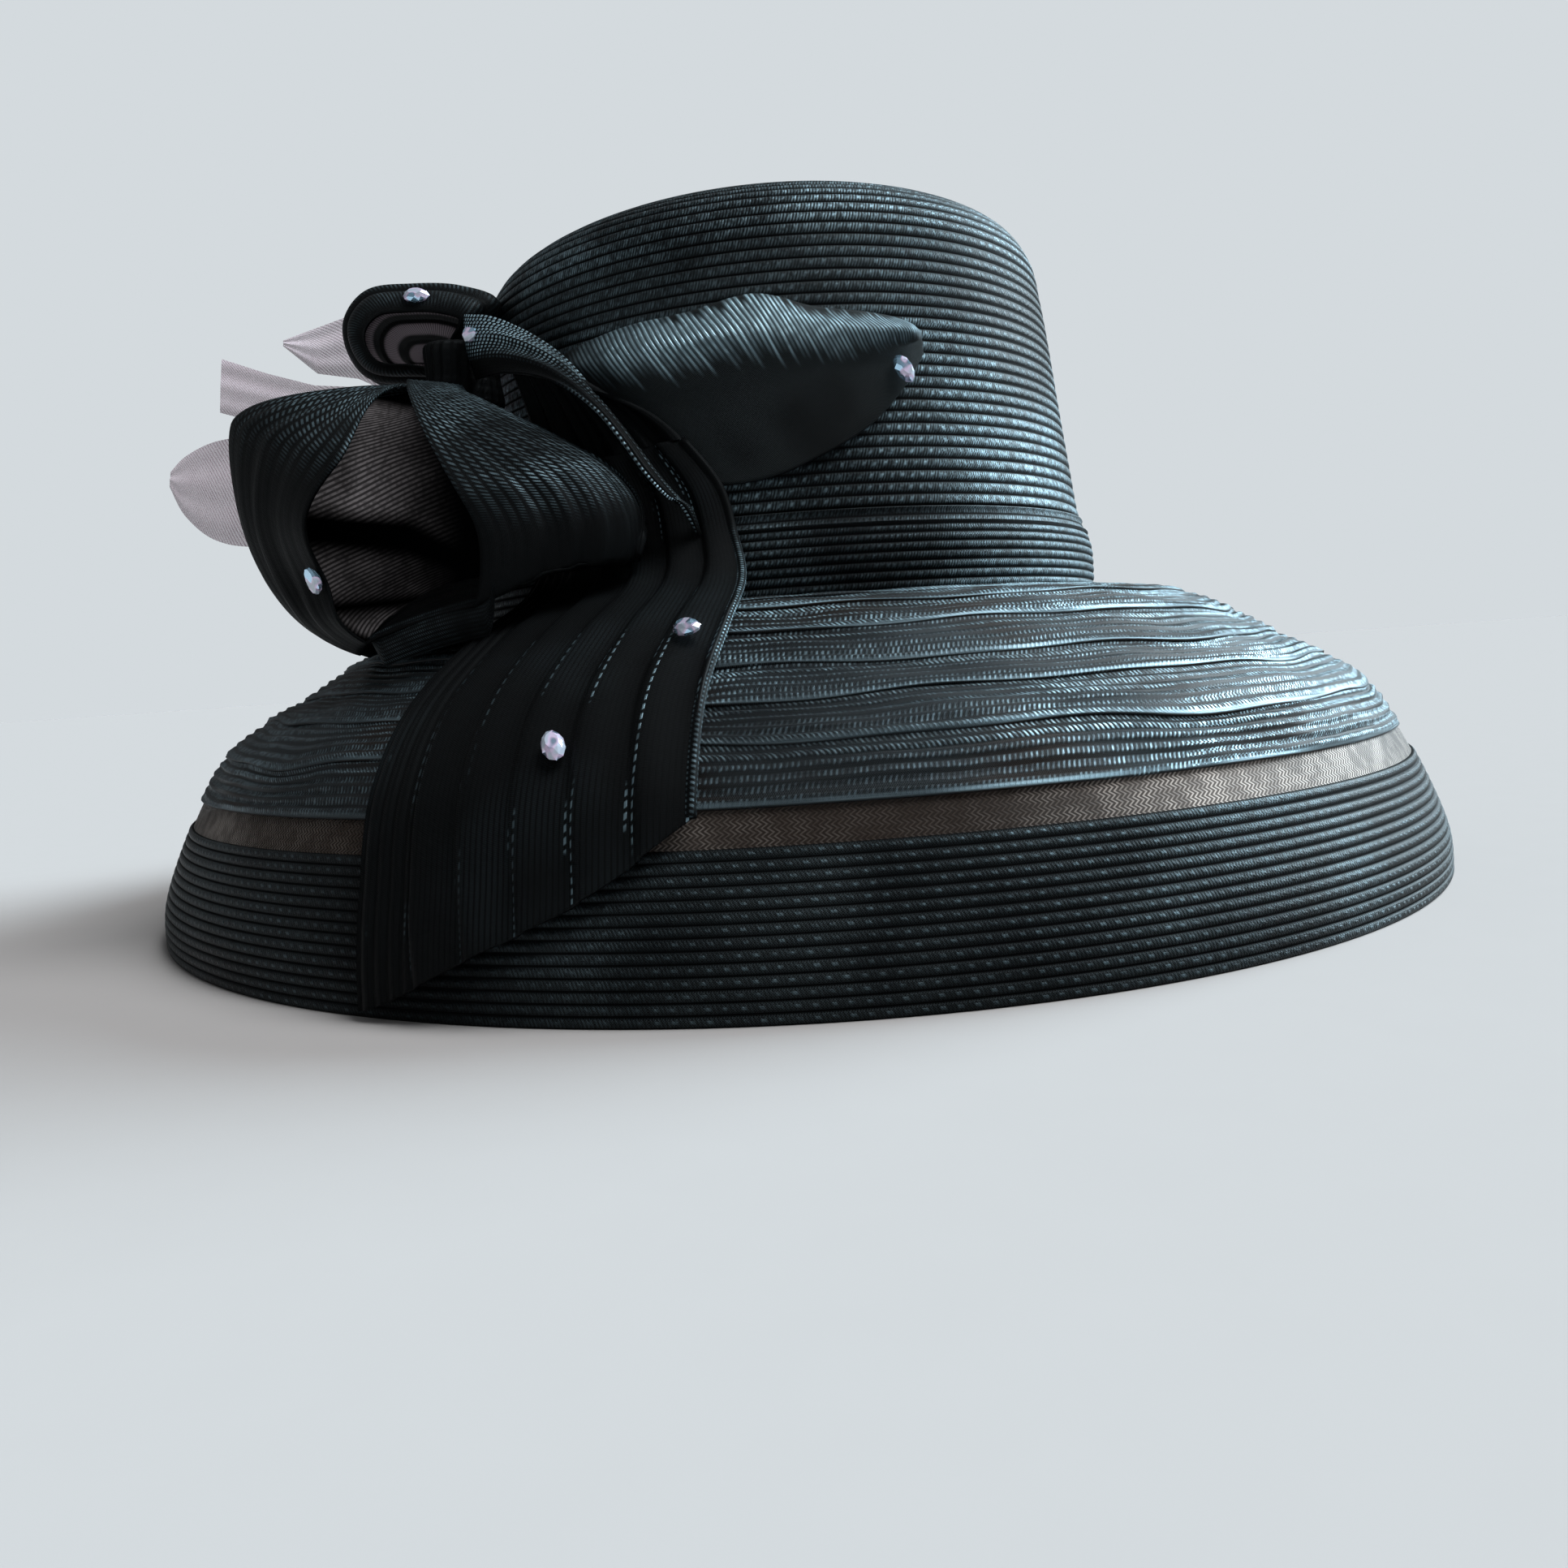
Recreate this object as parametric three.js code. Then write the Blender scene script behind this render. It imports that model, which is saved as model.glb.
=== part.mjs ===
// A wide-brimmed dress hat of black crinoline braid with a pleated bow on the wearer's right.
// Millimetres, +Z up, resting on its rim. The wearer looks along -Y, so the bow is on the -X side.
import * as THREE from 'three';

// Driving dimensions of the hat body. Radii are the mean of length and width, outside.
const RIM_RADIUS = 180;
const RIM_OVAL = 0.945;         // width over length at the rim
const HEAD_RADIUS = 96;         // at the foot of the crown
const HEAD_OVAL = 0.88;
const BRIM_HEIGHT = 74;         // from the rim plane to the foot of the crown
const CROWN_HEIGHT = 107;       // from the foot of the crown to its top
const WALL = 1.6;               // sewn braid
const SEAM_GAP = 0.3;           // between neighbouring pieces
const BRAID_WIDTH = 10.6;       // of the wide overlapping braids
const BRAID_STEP = 0.5;         // by which one wide braid stands over the next
const SHEER_WIDTH = 6.7;        // of the see-through braid
const EDGE_WIDTH = 30;          // of the outer band of narrow braid
const BAND_HEIGHT = 19;         // of the band round the foot of the crown

// Driving dimensions of the bow. Turns are degrees from the front towards the wearer's right.
const CLOTH = 1.2;              // pleated crinoline
const SHEER_CLOTH = 1.0;        // single pale sheer layer of the tips
const KNOT_TURN = 78;
const KNOT_WIDTH = 15;
const KNOT_HEIGHT = 18;
const KNOT_DEPTH = 22;
const KNOT_LEVEL = 0.589;       // share of CROWN_HEIGHT at which its middle sits
const TAIL_PLEATS = 6;
const TAIL_PLEAT_DEPTH = 1.4;
const TAIL_STAND = 3;           // by which the tail bridges the corner at the foot of the crown
const LARGE_LOOP_WIDTH = 118;
const LARGE_LOOP_HEIGHT = 74;
const LARGE_LOOP_DEPTH = 50;
const BACK_LOOP_WIDTH = 42;
const BACK_LOOP_HEIGHT = 24;
const BACK_LOOP_DEPTH = 24;
const FRONT_LOOP_STAND = 12;    // of the front loop's inner edge off the tail
const LARGE_LOOP_TURN = 74;
const LARGE_LOOP_OUT = 26;      // of its middle past the foot of the crown
const LARGE_LOOP_DROP = 38.5;   // of its middle below the knot's
const LARGE_LOOP_FACING = 49;
const BACK_LOOP_TURN = 90;
const BACK_LOOP_OUT = 9;
const BACK_LOOP_RISE = 14;      // of its middle above the knot's
const BACK_LOOP_FACING = 28;
const TAIL_TURN = 80;           // turn past which a loop may come down to the bare hat
const TAIL_MARGIN = 15;
const TIP_REACH = 83;           // of the longest sheer tip from the crown's side
const CLOTH_GAP = 0.45;         // between layers of the bow
const STONE_LENGTH = 7;
const STONE_WIDTH = 4.4;
const STONE_HEIGHT = 2.2;

// The outside of the brim, foot of the crown to rim: share of the reach, share of BRIM_HEIGHT.
const BRIM_TABLE = [
  { out: 0, up: 1 },
  { out: 0.154, up: 0.983 },
  { out: 0.288, up: 0.955 },
  { out: 0.418, up: 0.886 },
  { out: 0.54, up: 0.797 },
  { out: 0.676, up: 0.712 },
  { out: 0.796, up: 0.604 },
  { out: 0.876, up: 0.451 },
  { out: 0.944, up: 0.285 },
  { out: 0.992, up: 0.128 },
  { out: 1, up: 0 },
];

// The outside of the crown, foot to top: share of HEAD_RADIUS, share of CROWN_HEIGHT.
const CROWN_TABLE = [
  { radius: 1, up: 0 },
  { radius: 0.998, up: 0.107 },
  { radius: 0.966, up: 0.187 },
  { radius: 0.946, up: 0.311 },
  { radius: 0.922, up: 0.474 },
  { radius: 0.9, up: 0.636 },
  { radius: 0.883, up: 0.741 },
  { radius: 0.864, up: 0.824 },
  { radius: 0.808, up: 0.893 },
  { radius: 0.685, up: 0.946 },
  { radius: 0.504, up: 0.98 },
  { radius: 0.269, up: 0.998 },
  { radius: 0, up: 1 },
];

const AROUND = 48;              // steps round the hat
const RADIANS = Math.PI / 180;
const mix = (a, b, share) => a + (b - a) * share;
const clamp = (value) => Math.min(1, Math.max(0, value));
const smooth = (value) => clamp(value) ** 2 * (3 - 2 * clamp(value));

const brimCurve = new THREE.SplineCurve(BRIM_TABLE.map(({ out, up }) => new THREE.Vector2(
  mix(HEAD_RADIUS, RIM_RADIUS, out), BRIM_HEIGHT * up)));
const crownCurve = new THREE.SplineCurve(CROWN_TABLE.map(({ radius, up }) => new THREE.Vector2(
  HEAD_RADIUS * radius, BRIM_HEIGHT + CROWN_HEIGHT * up)));
brimCurve.arcLengthDivisions = 400;
crownCurve.arcLengthDivisions = 400;

// The oval of a given mean radius: half its length along Y and half its width along X.
function oval(radius) {
  const share = clamp((radius - HEAD_RADIUS) / (RIM_RADIUS - HEAD_RADIUS));
  const ratio = mix(HEAD_OVAL, RIM_OVAL, share);
  const halfLength = 2 * radius / (1 + ratio);
  return { halfLength, halfWidth: halfLength * ratio };
}

// Distance from the axis at a turn, on the oval of a mean radius.
function reach(radius, turn) {
  const { halfLength, halfWidth } = oval(radius);
  return 1 / Math.hypot(Math.sin(turn * RADIANS) / halfWidth, Math.cos(turn * RADIANS) / halfLength);
}

// Level direction outwards at a turn.
function outAt(turn) {
  return new THREE.Vector3(-Math.sin(turn * RADIANS), -Math.cos(turn * RADIANS), 0);
}

// Point of the oval of a mean radius at a turn and a height.
function at(radius, turn, height) {
  return outAt(turn).multiplyScalar(reach(radius, turn)).setZ(height);
}

// A point of a profile curve, moved off the outside by lift.
function lifted(curve, share, lift) {
  const point = curve.getPointAt(clamp(share));
  const along = curve.getTangentAt(clamp(share));
  const side = curve === crownCurve ? 1 : -1;
  return new THREE.Vector2(point.x + side * along.y * lift, point.y - side * along.x * lift);
}

// Share of a profile curve at which it reaches a height.
function shareAtHeight(curve, height) {
  let low = 0;
  let high = 1;
  for (let step = 0; step < 30; step += 1) {
    const middle = (low + high) / 2;
    const isBelow = curve.getPointAt(middle).y < height;
    if (isBelow === (curve === crownCurve)) low = middle;
    else high = middle;
  }
  return (low + high) / 2;
}

// Turns a mesh the right way out.
function faceOutwards(geometry) {
  const place = geometry.getAttribute('position');
  const index = geometry.getIndex();
  const corner = [0, 1, 2].map(() => new THREE.Vector3());
  let volume = 0;
  for (let i = 0; i < index.count; i += 3) {
    corner.forEach((point, k) => point.fromBufferAttribute(place, index.getX(i + k)));
    volume += corner[0].dot(corner[1].clone().cross(corner[2]));
  }
  if (volume < 0) index.array.reverse();
  geometry.computeVertexNormals();
  return geometry;
}

function meshed(points, triangles) {
  const geometry = new THREE.BufferGeometry();
  const numbers = points.flatMap((point) => point.toArray());
  geometry.setAttribute('position', new THREE.Float32BufferAttribute(numbers, 3));
  geometry.setIndex(triangles);
  return faceOutwards(geometry);
}

// Sweeps a closed section of (radius, height) points round the hat; a point on the axis is a pole.
function ringSolid(section) {
  const points = [];
  const rings = section.map(({ x, y }) => {
    const first = points.length;
    if (x < 1e-6) {
      points.push(new THREE.Vector3(0, 0, y));
      return () => first;
    }
    for (let i = 0; i < AROUND; i += 1) points.push(at(x, 360 * i / AROUND, y));
    return (i) => first + i % AROUND;
  });
  const triangles = [];
  rings.forEach((ring, row) => {
    const next = rings[(row + 1) % rings.length];
    for (let i = 0; i < AROUND; i += 1) {
      const corners = [ring(i), ring(i + 1), next(i + 1), next(i)];
      if (corners[0] !== corners[1]) triangles.push(corners[0], corners[1], corners[2]);
      if (corners[2] !== corners[3]) triangles.push(corners[0], corners[2], corners[3]);
    }
  });
  return meshed(points, triangles);
}

// Closed section of the wall between two shares of a profile curve.
function wallSection(curve, from, to, rows, step = 0) {
  const outside = [];
  for (let row = 0; row <= rows; row += 1) {
    const share = mix(from, to, row / rows);
    if (step && row > 0) outside.push(lifted(curve, share, step));
    if (!step || row < rows) outside.push(lifted(curve, share, 0));
  }
  const inside = [];
  for (let row = rows; row >= 0; row -= 1) inside.push(lifted(curve, mix(from, to, row / rows), -WALL));
  return [...outside, ...inside];
}

// Gives a surface place(u, v) a thickness: rows along u, columns along v.
function sheetSolid(place, rows, columns, thickness) {
  const points = [];
  const small = 1e-3;
  const surface = (u, v) => place(clamp(u), clamp(v));
  for (const side of [1, -1]) {
    for (let row = 0; row <= rows; row += 1) {
      for (let column = 0; column <= columns; column += 1) {
        const u = row / rows;
        const v = column / columns;
        const alongU = surface(u + small, v).sub(surface(u - small, v));
        const alongV = surface(u, v + small).sub(surface(u, v - small));
        const normal = alongU.cross(alongV).normalize();
        points.push(surface(u, v).addScaledVector(normal, side * thickness / 2));
      }
    }
  }
  const under = (rows + 1) * (columns + 1);
  const id = (row, column) => row * (columns + 1) + column;
  const triangles = [];
  const quad = (a, b, c, d) => triangles.push(a, b, c, a, c, d);
  for (let row = 0; row < rows; row += 1) {
    for (let column = 0; column < columns; column += 1) {
      const corners = [id(row, column), id(row + 1, column), id(row + 1, column + 1), id(row, column + 1)];
      quad(...corners);
      quad(...corners.reverse().map((corner) => corner + under));
    }
    quad(id(row + 1, 0), id(row, 0), id(row, 0) + under, id(row + 1, 0) + under);
    const last = columns;
    quad(id(row, last), id(row + 1, last), id(row + 1, last) + under, id(row, last) + under);
  }
  for (let column = 0; column < columns; column += 1) {
    quad(id(0, column), id(0, column + 1), id(0, column + 1) + under, id(0, column) + under);
    quad(id(rows, column + 1), id(rows, column), id(rows, column) + under, id(rows, column + 1) + under);
  }
  return meshed(points, triangles);
}

const hat = new THREE.Group();
const BLACK_BRAID = { color: 0x23272a, roughness: 0.38, metalness: 0.15 };
const WIDE_BRAID = { color: 0x262a2d, roughness: 0.34, metalness: 0.15 };
const SHEER_BRAID = { color: 0x5a4f49, roughness: 0.5, metalness: 0 };
const BOW_CLOTH = { color: 0x1e2123, roughness: 0.42, metalness: 0.1 };
const PALE_SHEER = { color: 0x8d858a, roughness: 0.6, metalness: 0 };
const CLEAR_STONE = { color: 0xe6ecf4, roughness: 0.05, metalness: 0 };

function add(name, geometry, finish) {
  const mesh = new THREE.Mesh(geometry, new THREE.MeshStandardMaterial(finish));
  mesh.name = name;
  hat.add(mesh);
  return mesh;
}

// Crown and the band round its foot
const crownLength = crownCurve.getLength();
const bandTop = shareAtHeight(crownCurve, BRIM_HEIGHT + BAND_HEIGHT);
const crownSection = wallSection(crownCurve, bandTop + SEAM_GAP / crownLength, 1, 12);
crownSection.forEach((point) => {
  if (point.x < WALL) point.x = 0;
});
add('crown', ringSolid(crownSection), BLACK_BRAID);
add('crown_band', ringSolid(wallSection(crownCurve, 0, bandTop, 3)), BLACK_BRAID);

// Brim: wide braids, one see-through braid, outer band of narrow braid
const brimLength = brimCurve.getLength();
const edgeStart = 1 - EDGE_WIDTH / brimLength;
const sheerStart = edgeStart - SHEER_WIDTH / brimLength;
const seam = SEAM_GAP / brimLength;
const braids = Math.max(1, Math.round((sheerStart - seam) * brimLength / BRAID_WIDTH));
const topSection = wallSection(brimCurve, seam, sheerStart - seam, braids, BRAID_STEP);
add('brim_top', ringSolid(topSection), WIDE_BRAID);
add('brim_sheer_strip', ringSolid(wallSection(brimCurve, sheerStart, edgeStart - seam, 1)), SHEER_BRAID);
const edgeSection = wallSection(brimCurve, edgeStart, 1, 4);
const rimEnds = edgeSection.length / 2;
edgeSection.slice(rimEnds - 1, rimEnds + 1).forEach((point) => point.setY(0));
add('brim_edge_band', ringSolid(edgeSection), BLACK_BRAID);

// The mean radius of the oval on which a point lies.
function meanRadius(distance, turn) {
  let radius = distance;
  for (let step = 0; step < 6; step += 1) radius *= distance / reach(radius, turn);
  return radius;
}

// Height of the brim's outside at a mean radius.
function brimHeight(radius) {
  let low = 0;
  let high = 1;
  for (let step = 0; step < 24; step += 1) {
    const middle = (low + high) / 2;
    if (brimCurve.getPoint(middle).x < radius) low = middle;
    else high = middle;
  }
  return brimCurve.getPoint(low).y;
}

// Moves a point of the bow out of the crown and up off the brim, to a clearance from each. The
// tail lies on both as far as TAIL_TURN.
function clearOfHat(point, { crown, brim, crownTail, brimTail }) {
  const turn = Math.atan2(-point.x, -point.y) / RADIANS;
  const overTail = smooth((TAIL_TURN - turn) / TAIL_MARGIN);
  const distance = Math.hypot(point.x, point.y);
  let radius = meanRadius(distance, turn);
  const share = shareAtHeight(crownCurve, Math.max(point.z, BRIM_HEIGHT + 0.1));
  radius = Math.max(radius, crownCurve.getPointAt(share).x + mix(crown, crownTail, overTail));
  const floor = brimHeight(Math.min(radius, RIM_RADIUS)) + mix(brim, brimTail, overTail);
  return at(radius, turn, Math.max(point.z, floor));
}

// A value of a table between its evenly spaced rows.
function tableValue(table, column, share) {
  const place = clamp(share) * (table.length - 1);
  const row = Math.min(table.length - 2, Math.floor(place));
  const values = [-1, 0, 1, 2].map((step) => table[
    Math.min(table.length - 1, Math.max(0, row + step))][column]);
  const t = place - row;
  const slopeIn = (values[2] - values[0]) / 2;
  const slopeOut = (values[3] - values[1]) / 2;
  const rise = values[2] - values[1];
  const squared = 3 * rise - 2 * slopeIn - slopeOut;
  const cubed = slopeIn + slopeOut - 2 * rise;
  return values[1] + t * (slopeIn + t * (squared + t * cubed));
}

// Share of the crown's curve at a share of its height.
const crownShare = (rise) => shareAtHeight(crownCurve, BRIM_HEIGHT + CROWN_HEIGHT * rise);

// A point at a turn and rise on the crown's side, moved off it by lift; level moves it level.
function onCrown(turn, rise, lift, level = false) {
  const share = crownShare(rise);
  if (level) {
    const { x, y } = crownCurve.getPointAt(share);
    return at(x, turn, y).addScaledVector(outAt(turn), lift);
  }
  const { x, y } = lifted(crownCurve, share, lift);
  return at(x, turn, y);
}

// Leaf of the bow, knot to tip: turn as a share of KNOT_TURN, edges as shares of CROWN_HEIGHT.
const LEAF_TABLE = [
  { turn: 0.827, low: 0.42, high: 0.57 },
  { turn: 0.712, low: 0.34, high: 0.595 },
  { turn: 0.577, low: 0.265, high: 0.615 },
  { turn: 0.442, low: 0.245, high: 0.62 },
  { turn: 0.317, low: 0.25, high: 0.64 },
  { turn: 0.212, low: 0.295, high: 0.605 },
  { turn: 0.125, low: 0.355, high: 0.59 },
  { turn: 0.053, low: 0.44, high: 0.575 },
  { turn: 0.014, low: 0.505, high: 0.555 },
];

function leafPlace(u, v) {
  const turn = KNOT_TURN * tableValue(LEAF_TABLE, 'turn', u);
  const share = mix(tableValue(LEAF_TABLE, 'low', u), tableValue(LEAF_TABLE, 'high', u), v);
  return onCrown(turn, share, 1.2 * CLOTH_GAP + CLOTH / 2);
}

// Tail of the bow, from the crown's side over the brim to the rim. Its way is a share of the
// crown's height or of the brim's slope, its sides are shares of KNOT_TURN.
const TAIL_TABLE = [
  { crown: 0.4, front: 0.5, back: 0.827, stand: 0.15 },
  { crown: 0.25, front: 0.404, back: 0.788, stand: 0.15 },
  { crown: 0.12, front: 0.375, back: 0.769, stand: 0.25 },
  { brim: 0.11, front: 0.361, back: 0.74, stand: 1 },
  { brim: 0.3, front: 0.371, back: 0.716, stand: 0.15 },
  { brim: 0.5, front: 0.385, back: 0.7, stand: 0 },
  { brim: 0.67, front: 0.388, back: 0.679, stand: 0 },
  { brim: 0.82, front: 0.388, back: 0.663, stand: 0 },
  { brim: 0.91, front: 0.388, back: 0.655, stand: 0 },
  { brim: 0.985, front: 0.388, back: 0.654, stand: 0 },
];
const TAIL_CUT = 0.7;          // share of the tail at which the slanting cut leaves its front side
const tailLift = CLOTH / 2 + BRAID_STEP + CLOTH + 3 * CLOTH_GAP;
const tailCurve = new THREE.SplineCurve(TAIL_TABLE.map(({ crown, brim, stand }) => {
  const lift = tailLift + stand * TAIL_STAND;
  if (brim === undefined) return lifted(crownCurve, crownShare(crown), lift);
  return lifted(brimCurve, brim, lift - CLOTH);
}));

function tailPlace(u, v) {
  const share = u * mix(TAIL_CUT, 1, v);
  const front = tableValue(TAIL_TABLE, 'front', share);
  const turn = KNOT_TURN * mix(front, tableValue(TAIL_TABLE, 'back', share), v);
  const point = tailCurve.getPoint(share);
  const along = tailCurve.getTangent(share);
  const fold = Math.abs((v * TAIL_PLEATS) % 1 - 0.5) * 2;
  const lift = TAIL_PLEAT_DEPTH * (1 - fold);
  return at(point.x - along.y * lift, turn, point.y + along.x * lift);
}

// The narrow folded loop that curves forward and down the crown: its outer edge lies close to the
// crown and its inner edge stands off. Turns as shares of KNOT_TURN, rises as shares of CROWN_HEIGHT.
const FRONT_LOOP_TABLE = [
  { outer: 0.947, outerRise: 0.7, outerStand: 1, inner: 0.947, innerRise: 0.56, innerStand: 1.5 },
  { outer: 0.83, outerRise: 0.665, outerStand: 0.6, inner: 0.8, innerRise: 0.53, innerStand: 1.3 },
  { outer: 0.692, outerRise: 0.566, outerStand: 0.36, inner: 0.68, innerRise: 0.48, innerStand: 1 },
  { outer: 0.58, outerRise: 0.418, outerStand: 0.36, inner: 0.58, innerRise: 0.39, innerStand: 1 },
  { outer: 0.488, outerRise: 0.264, outerStand: 0.36, inner: 0.505, innerRise: 0.248, innerStand: 1 },
  { outer: 0.438, outerRise: 0.168, outerStand: 0.4, inner: 0.475, innerRise: 0.155, innerStand: 1 },
  { outer: 0.428, outerRise: 0.115, outerStand: 0.45, inner: 0.474, innerRise: 0.11, innerStand: 1 },
];

function frontLoopPlace(u, v) {
  const value = (column) => tableValue(FRONT_LOOP_TABLE, column, u);
  const turn = KNOT_TURN * mix(value('outer'), value('inner'), v);
  const bulge = Math.sin(Math.PI * v) * CLOTH;
  const stand = mix(value('outerStand'), value('innerStand'), v) * FRONT_LOOP_STAND;
  const share = mix(value('outerRise'), value('innerRise'), v);
  return onCrown(turn, share, tailLift + stand + bulge);
}

// Knot: a short upright barrel on the crown's side
const knotHeight = BRIM_HEIGHT + KNOT_LEVEL * CROWN_HEIGHT;
const knotOut = outAt(KNOT_TURN);
const knotForward = new THREE.Vector3(-knotOut.y, knotOut.x, 0);
const knotFoot = crownCurve.getPointAt(shareAtHeight(crownCurve, knotHeight - KNOT_HEIGHT / 2));
const knotSeat = at(knotFoot.x, KNOT_TURN, knotHeight);
const knotMiddle = knotSeat.clone().addScaledVector(knotOut, SEAM_GAP + KNOT_DEPTH / 2);
const KNOT_PROFILE = [
  { width: 0, rise: -1 },
  { width: 0.7, rise: -0.92 },
  { width: 1, rise: -0.7 },
  { width: 1, rise: 0.7 },
  { width: 0.7, rise: 0.92 },
  { width: 0, rise: 1 },
];

function knotSolid() {
  const sides = 16;
  const points = [];
  KNOT_PROFILE.forEach(({ width, rise }) => {
    const count = width > 0 ? sides : 1;
    for (let i = 0; i < count; i += 1) {
      const turn = 2 * Math.PI * i / sides;
      points.push(knotMiddle.clone()
        .addScaledVector(knotForward, Math.cos(turn) * width * KNOT_WIDTH / 2)
        .addScaledVector(knotOut, Math.sin(turn) * width * KNOT_DEPTH / 2)
        .setZ(knotHeight + rise * KNOT_HEIGHT / 2));
    }
  });
  const triangles = [];
  const last = points.length - 1;
  for (let i = 0; i < sides; i += 1) {
    const next = (i + 1) % sides;
    triangles.push(0, 1 + next, 1 + i);
    for (let ring = 0; ring < KNOT_PROFILE.length - 3; ring += 1) {
      const here = 1 + ring * sides;
      triangles.push(here + i, here + next, here + sides + next);
      triangles.push(here + i, here + sides + next, here + sides + i);
    }
    triangles.push(last, last - sides + i, last - sides + next);
  }
  return meshed(points, triangles);
}

// Where a ribbon's end meets the knot: side is 1 in front and -1 behind, rise and out are shares.
function knotEnd(side, rise, out) {
  const half = KNOT_WIDTH / 2 + CLOTH / 2 + SEAM_GAP;
  return knotMiddle.clone()
    .addScaledVector(knotForward, side * half)
    .addScaledVector(knotOut, out * KNOT_DEPTH / 2)
    .add(new THREE.Vector3(0, 0, rise * KNOT_HEIGHT / 2));
}

// A ribbon bent into a puffed ring that faces a turn, both its ends gathered at the knot. The
// table gives its middle line from end to end as shares of half the width and half the height;
// its near and far edges are that line drawn in towards the mouth.
function ribbonLoop(loop) {
  const axis = outAt(loop.facing);
  const across = new THREE.Vector3(-axis.y, axis.x, 0);
  return (u, v) => {
    const side = 2 * v - 1;
    const edge = side > 0 ? loop.near : loop.far;
    const drawn = side ** 2;
    const middleAcross = tableValue(loop.table, 'across', u);
    const middleUp = tableValue(loop.table, 'up', u);
    const shareAcross = mix(middleAcross, edge.shiftAcross + edge.across * middleAcross, drawn);
    const shareUp = mix(middleUp, edge.shiftUp + edge.up * middleUp, drawn);
    const ring = loop.centre.clone()
      .addScaledVector(across, loop.width / 2 * shareAcross)
      .addScaledVector(axis, side * loop.depth / 2)
      .add(new THREE.Vector3(0, 0, loop.height / 2 * shareUp));
    const open = smooth(Math.min(u, 1 - u) / loop.gathered);
    const end = u < 0.5 ? loop.start : loop.end;
    const gathered = end.clone().addScaledVector(knotOut, side * loop.gatherWidth / 2);
    const outwards = smooth(Math.min(u, 1 - u) / loop.gathered * 3);
    const point = gathered.lerp(ring, open);
    return point.lerp(clearOfHat(point, loop.clear), outwards);
  };
}

const LARGE_LOOP_TABLE = [
  { across: 0.27, up: 0.9 },
  { across: 0.7, up: 0.5 },
  { across: 1, up: 0.17 },
  { across: 1.12, up: -0.16 },
  { across: 1.03, up: -0.6 },
  { across: 0.72, up: -0.92 },
  { across: 0.29, up: -1 },
  { across: -0.15, up: -0.87 },
  { across: -0.51, up: -0.62 },
  { across: -0.75, up: -0.22 },
  { across: -0.85, up: 0.33 },
  { across: -0.83, up: 0.87 },
  { across: -0.56, up: 1 },
  { across: -0.28, up: 0.98 },
];
const BACK_LOOP_TABLE = [
  { across: 0.5, up: -0.1 },
  { across: 1.05, up: 0.6 },
  { across: 0.6, up: 1 },
  { across: 0, up: 1.12 },
  { across: -0.55, up: 1.08 },
  { across: -0.86, up: 0.55 },
  { across: -0.85, up: -0.15 },
  { across: -0.6, up: -0.7 },
  { across: 0, up: -0.85 },
  { across: 0.5, up: -0.8 },
];
const tailTop = tailLift + TAIL_PLEAT_DEPTH + CLOTH + CLOTH_GAP;
const largeLoopPlace = ribbonLoop({
  table: LARGE_LOOP_TABLE,
  centre: at(HEAD_RADIUS + LARGE_LOOP_OUT, LARGE_LOOP_TURN, knotHeight - LARGE_LOOP_DROP),
  facing: LARGE_LOOP_FACING,
  width: LARGE_LOOP_WIDTH,
  height: LARGE_LOOP_HEIGHT,
  depth: LARGE_LOOP_DEPTH,
  near: { across: 0.43, shiftAcross: 0.2, up: 0.72, shiftUp: -0.16 },
  far: { across: 0.6, shiftAcross: 0.03, up: 0.6, shiftUp: -0.1 },
  gathered: 0.16,
  gatherWidth: 0.55 * KNOT_DEPTH,
  start: knotEnd(1, -0.3, 0.35),
  end: knotEnd(-1, -0.3, 0.35),
  clear: { crown: 5, brim: 2, crownTail: tailTop + TAIL_STAND + 3, brimTail: tailTop + TAIL_STAND + 2.3 },
});
const backLoopPlace = ribbonLoop({
  table: BACK_LOOP_TABLE,
  centre: at(HEAD_RADIUS + BACK_LOOP_OUT, BACK_LOOP_TURN, knotHeight + BACK_LOOP_RISE),
  facing: BACK_LOOP_FACING,
  width: BACK_LOOP_WIDTH,
  height: BACK_LOOP_HEIGHT,
  depth: BACK_LOOP_DEPTH,
  near: { across: 0.62, shiftAcross: 0.05, up: 0.55, shiftUp: -0.25 },
  far: { across: 0.7, shiftAcross: 0, up: 0.7, shiftUp: 0 },
  gathered: 0.14,
  gatherWidth: 0.45 * KNOT_DEPTH,
  start: knotEnd(-1, 0.8, -0.3),
  end: knotEnd(-1, 0.3, -0.3),
  clear: { crown: CLOTH, brim: 2, crownTail: 4, brimTail: 2 },
});

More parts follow.
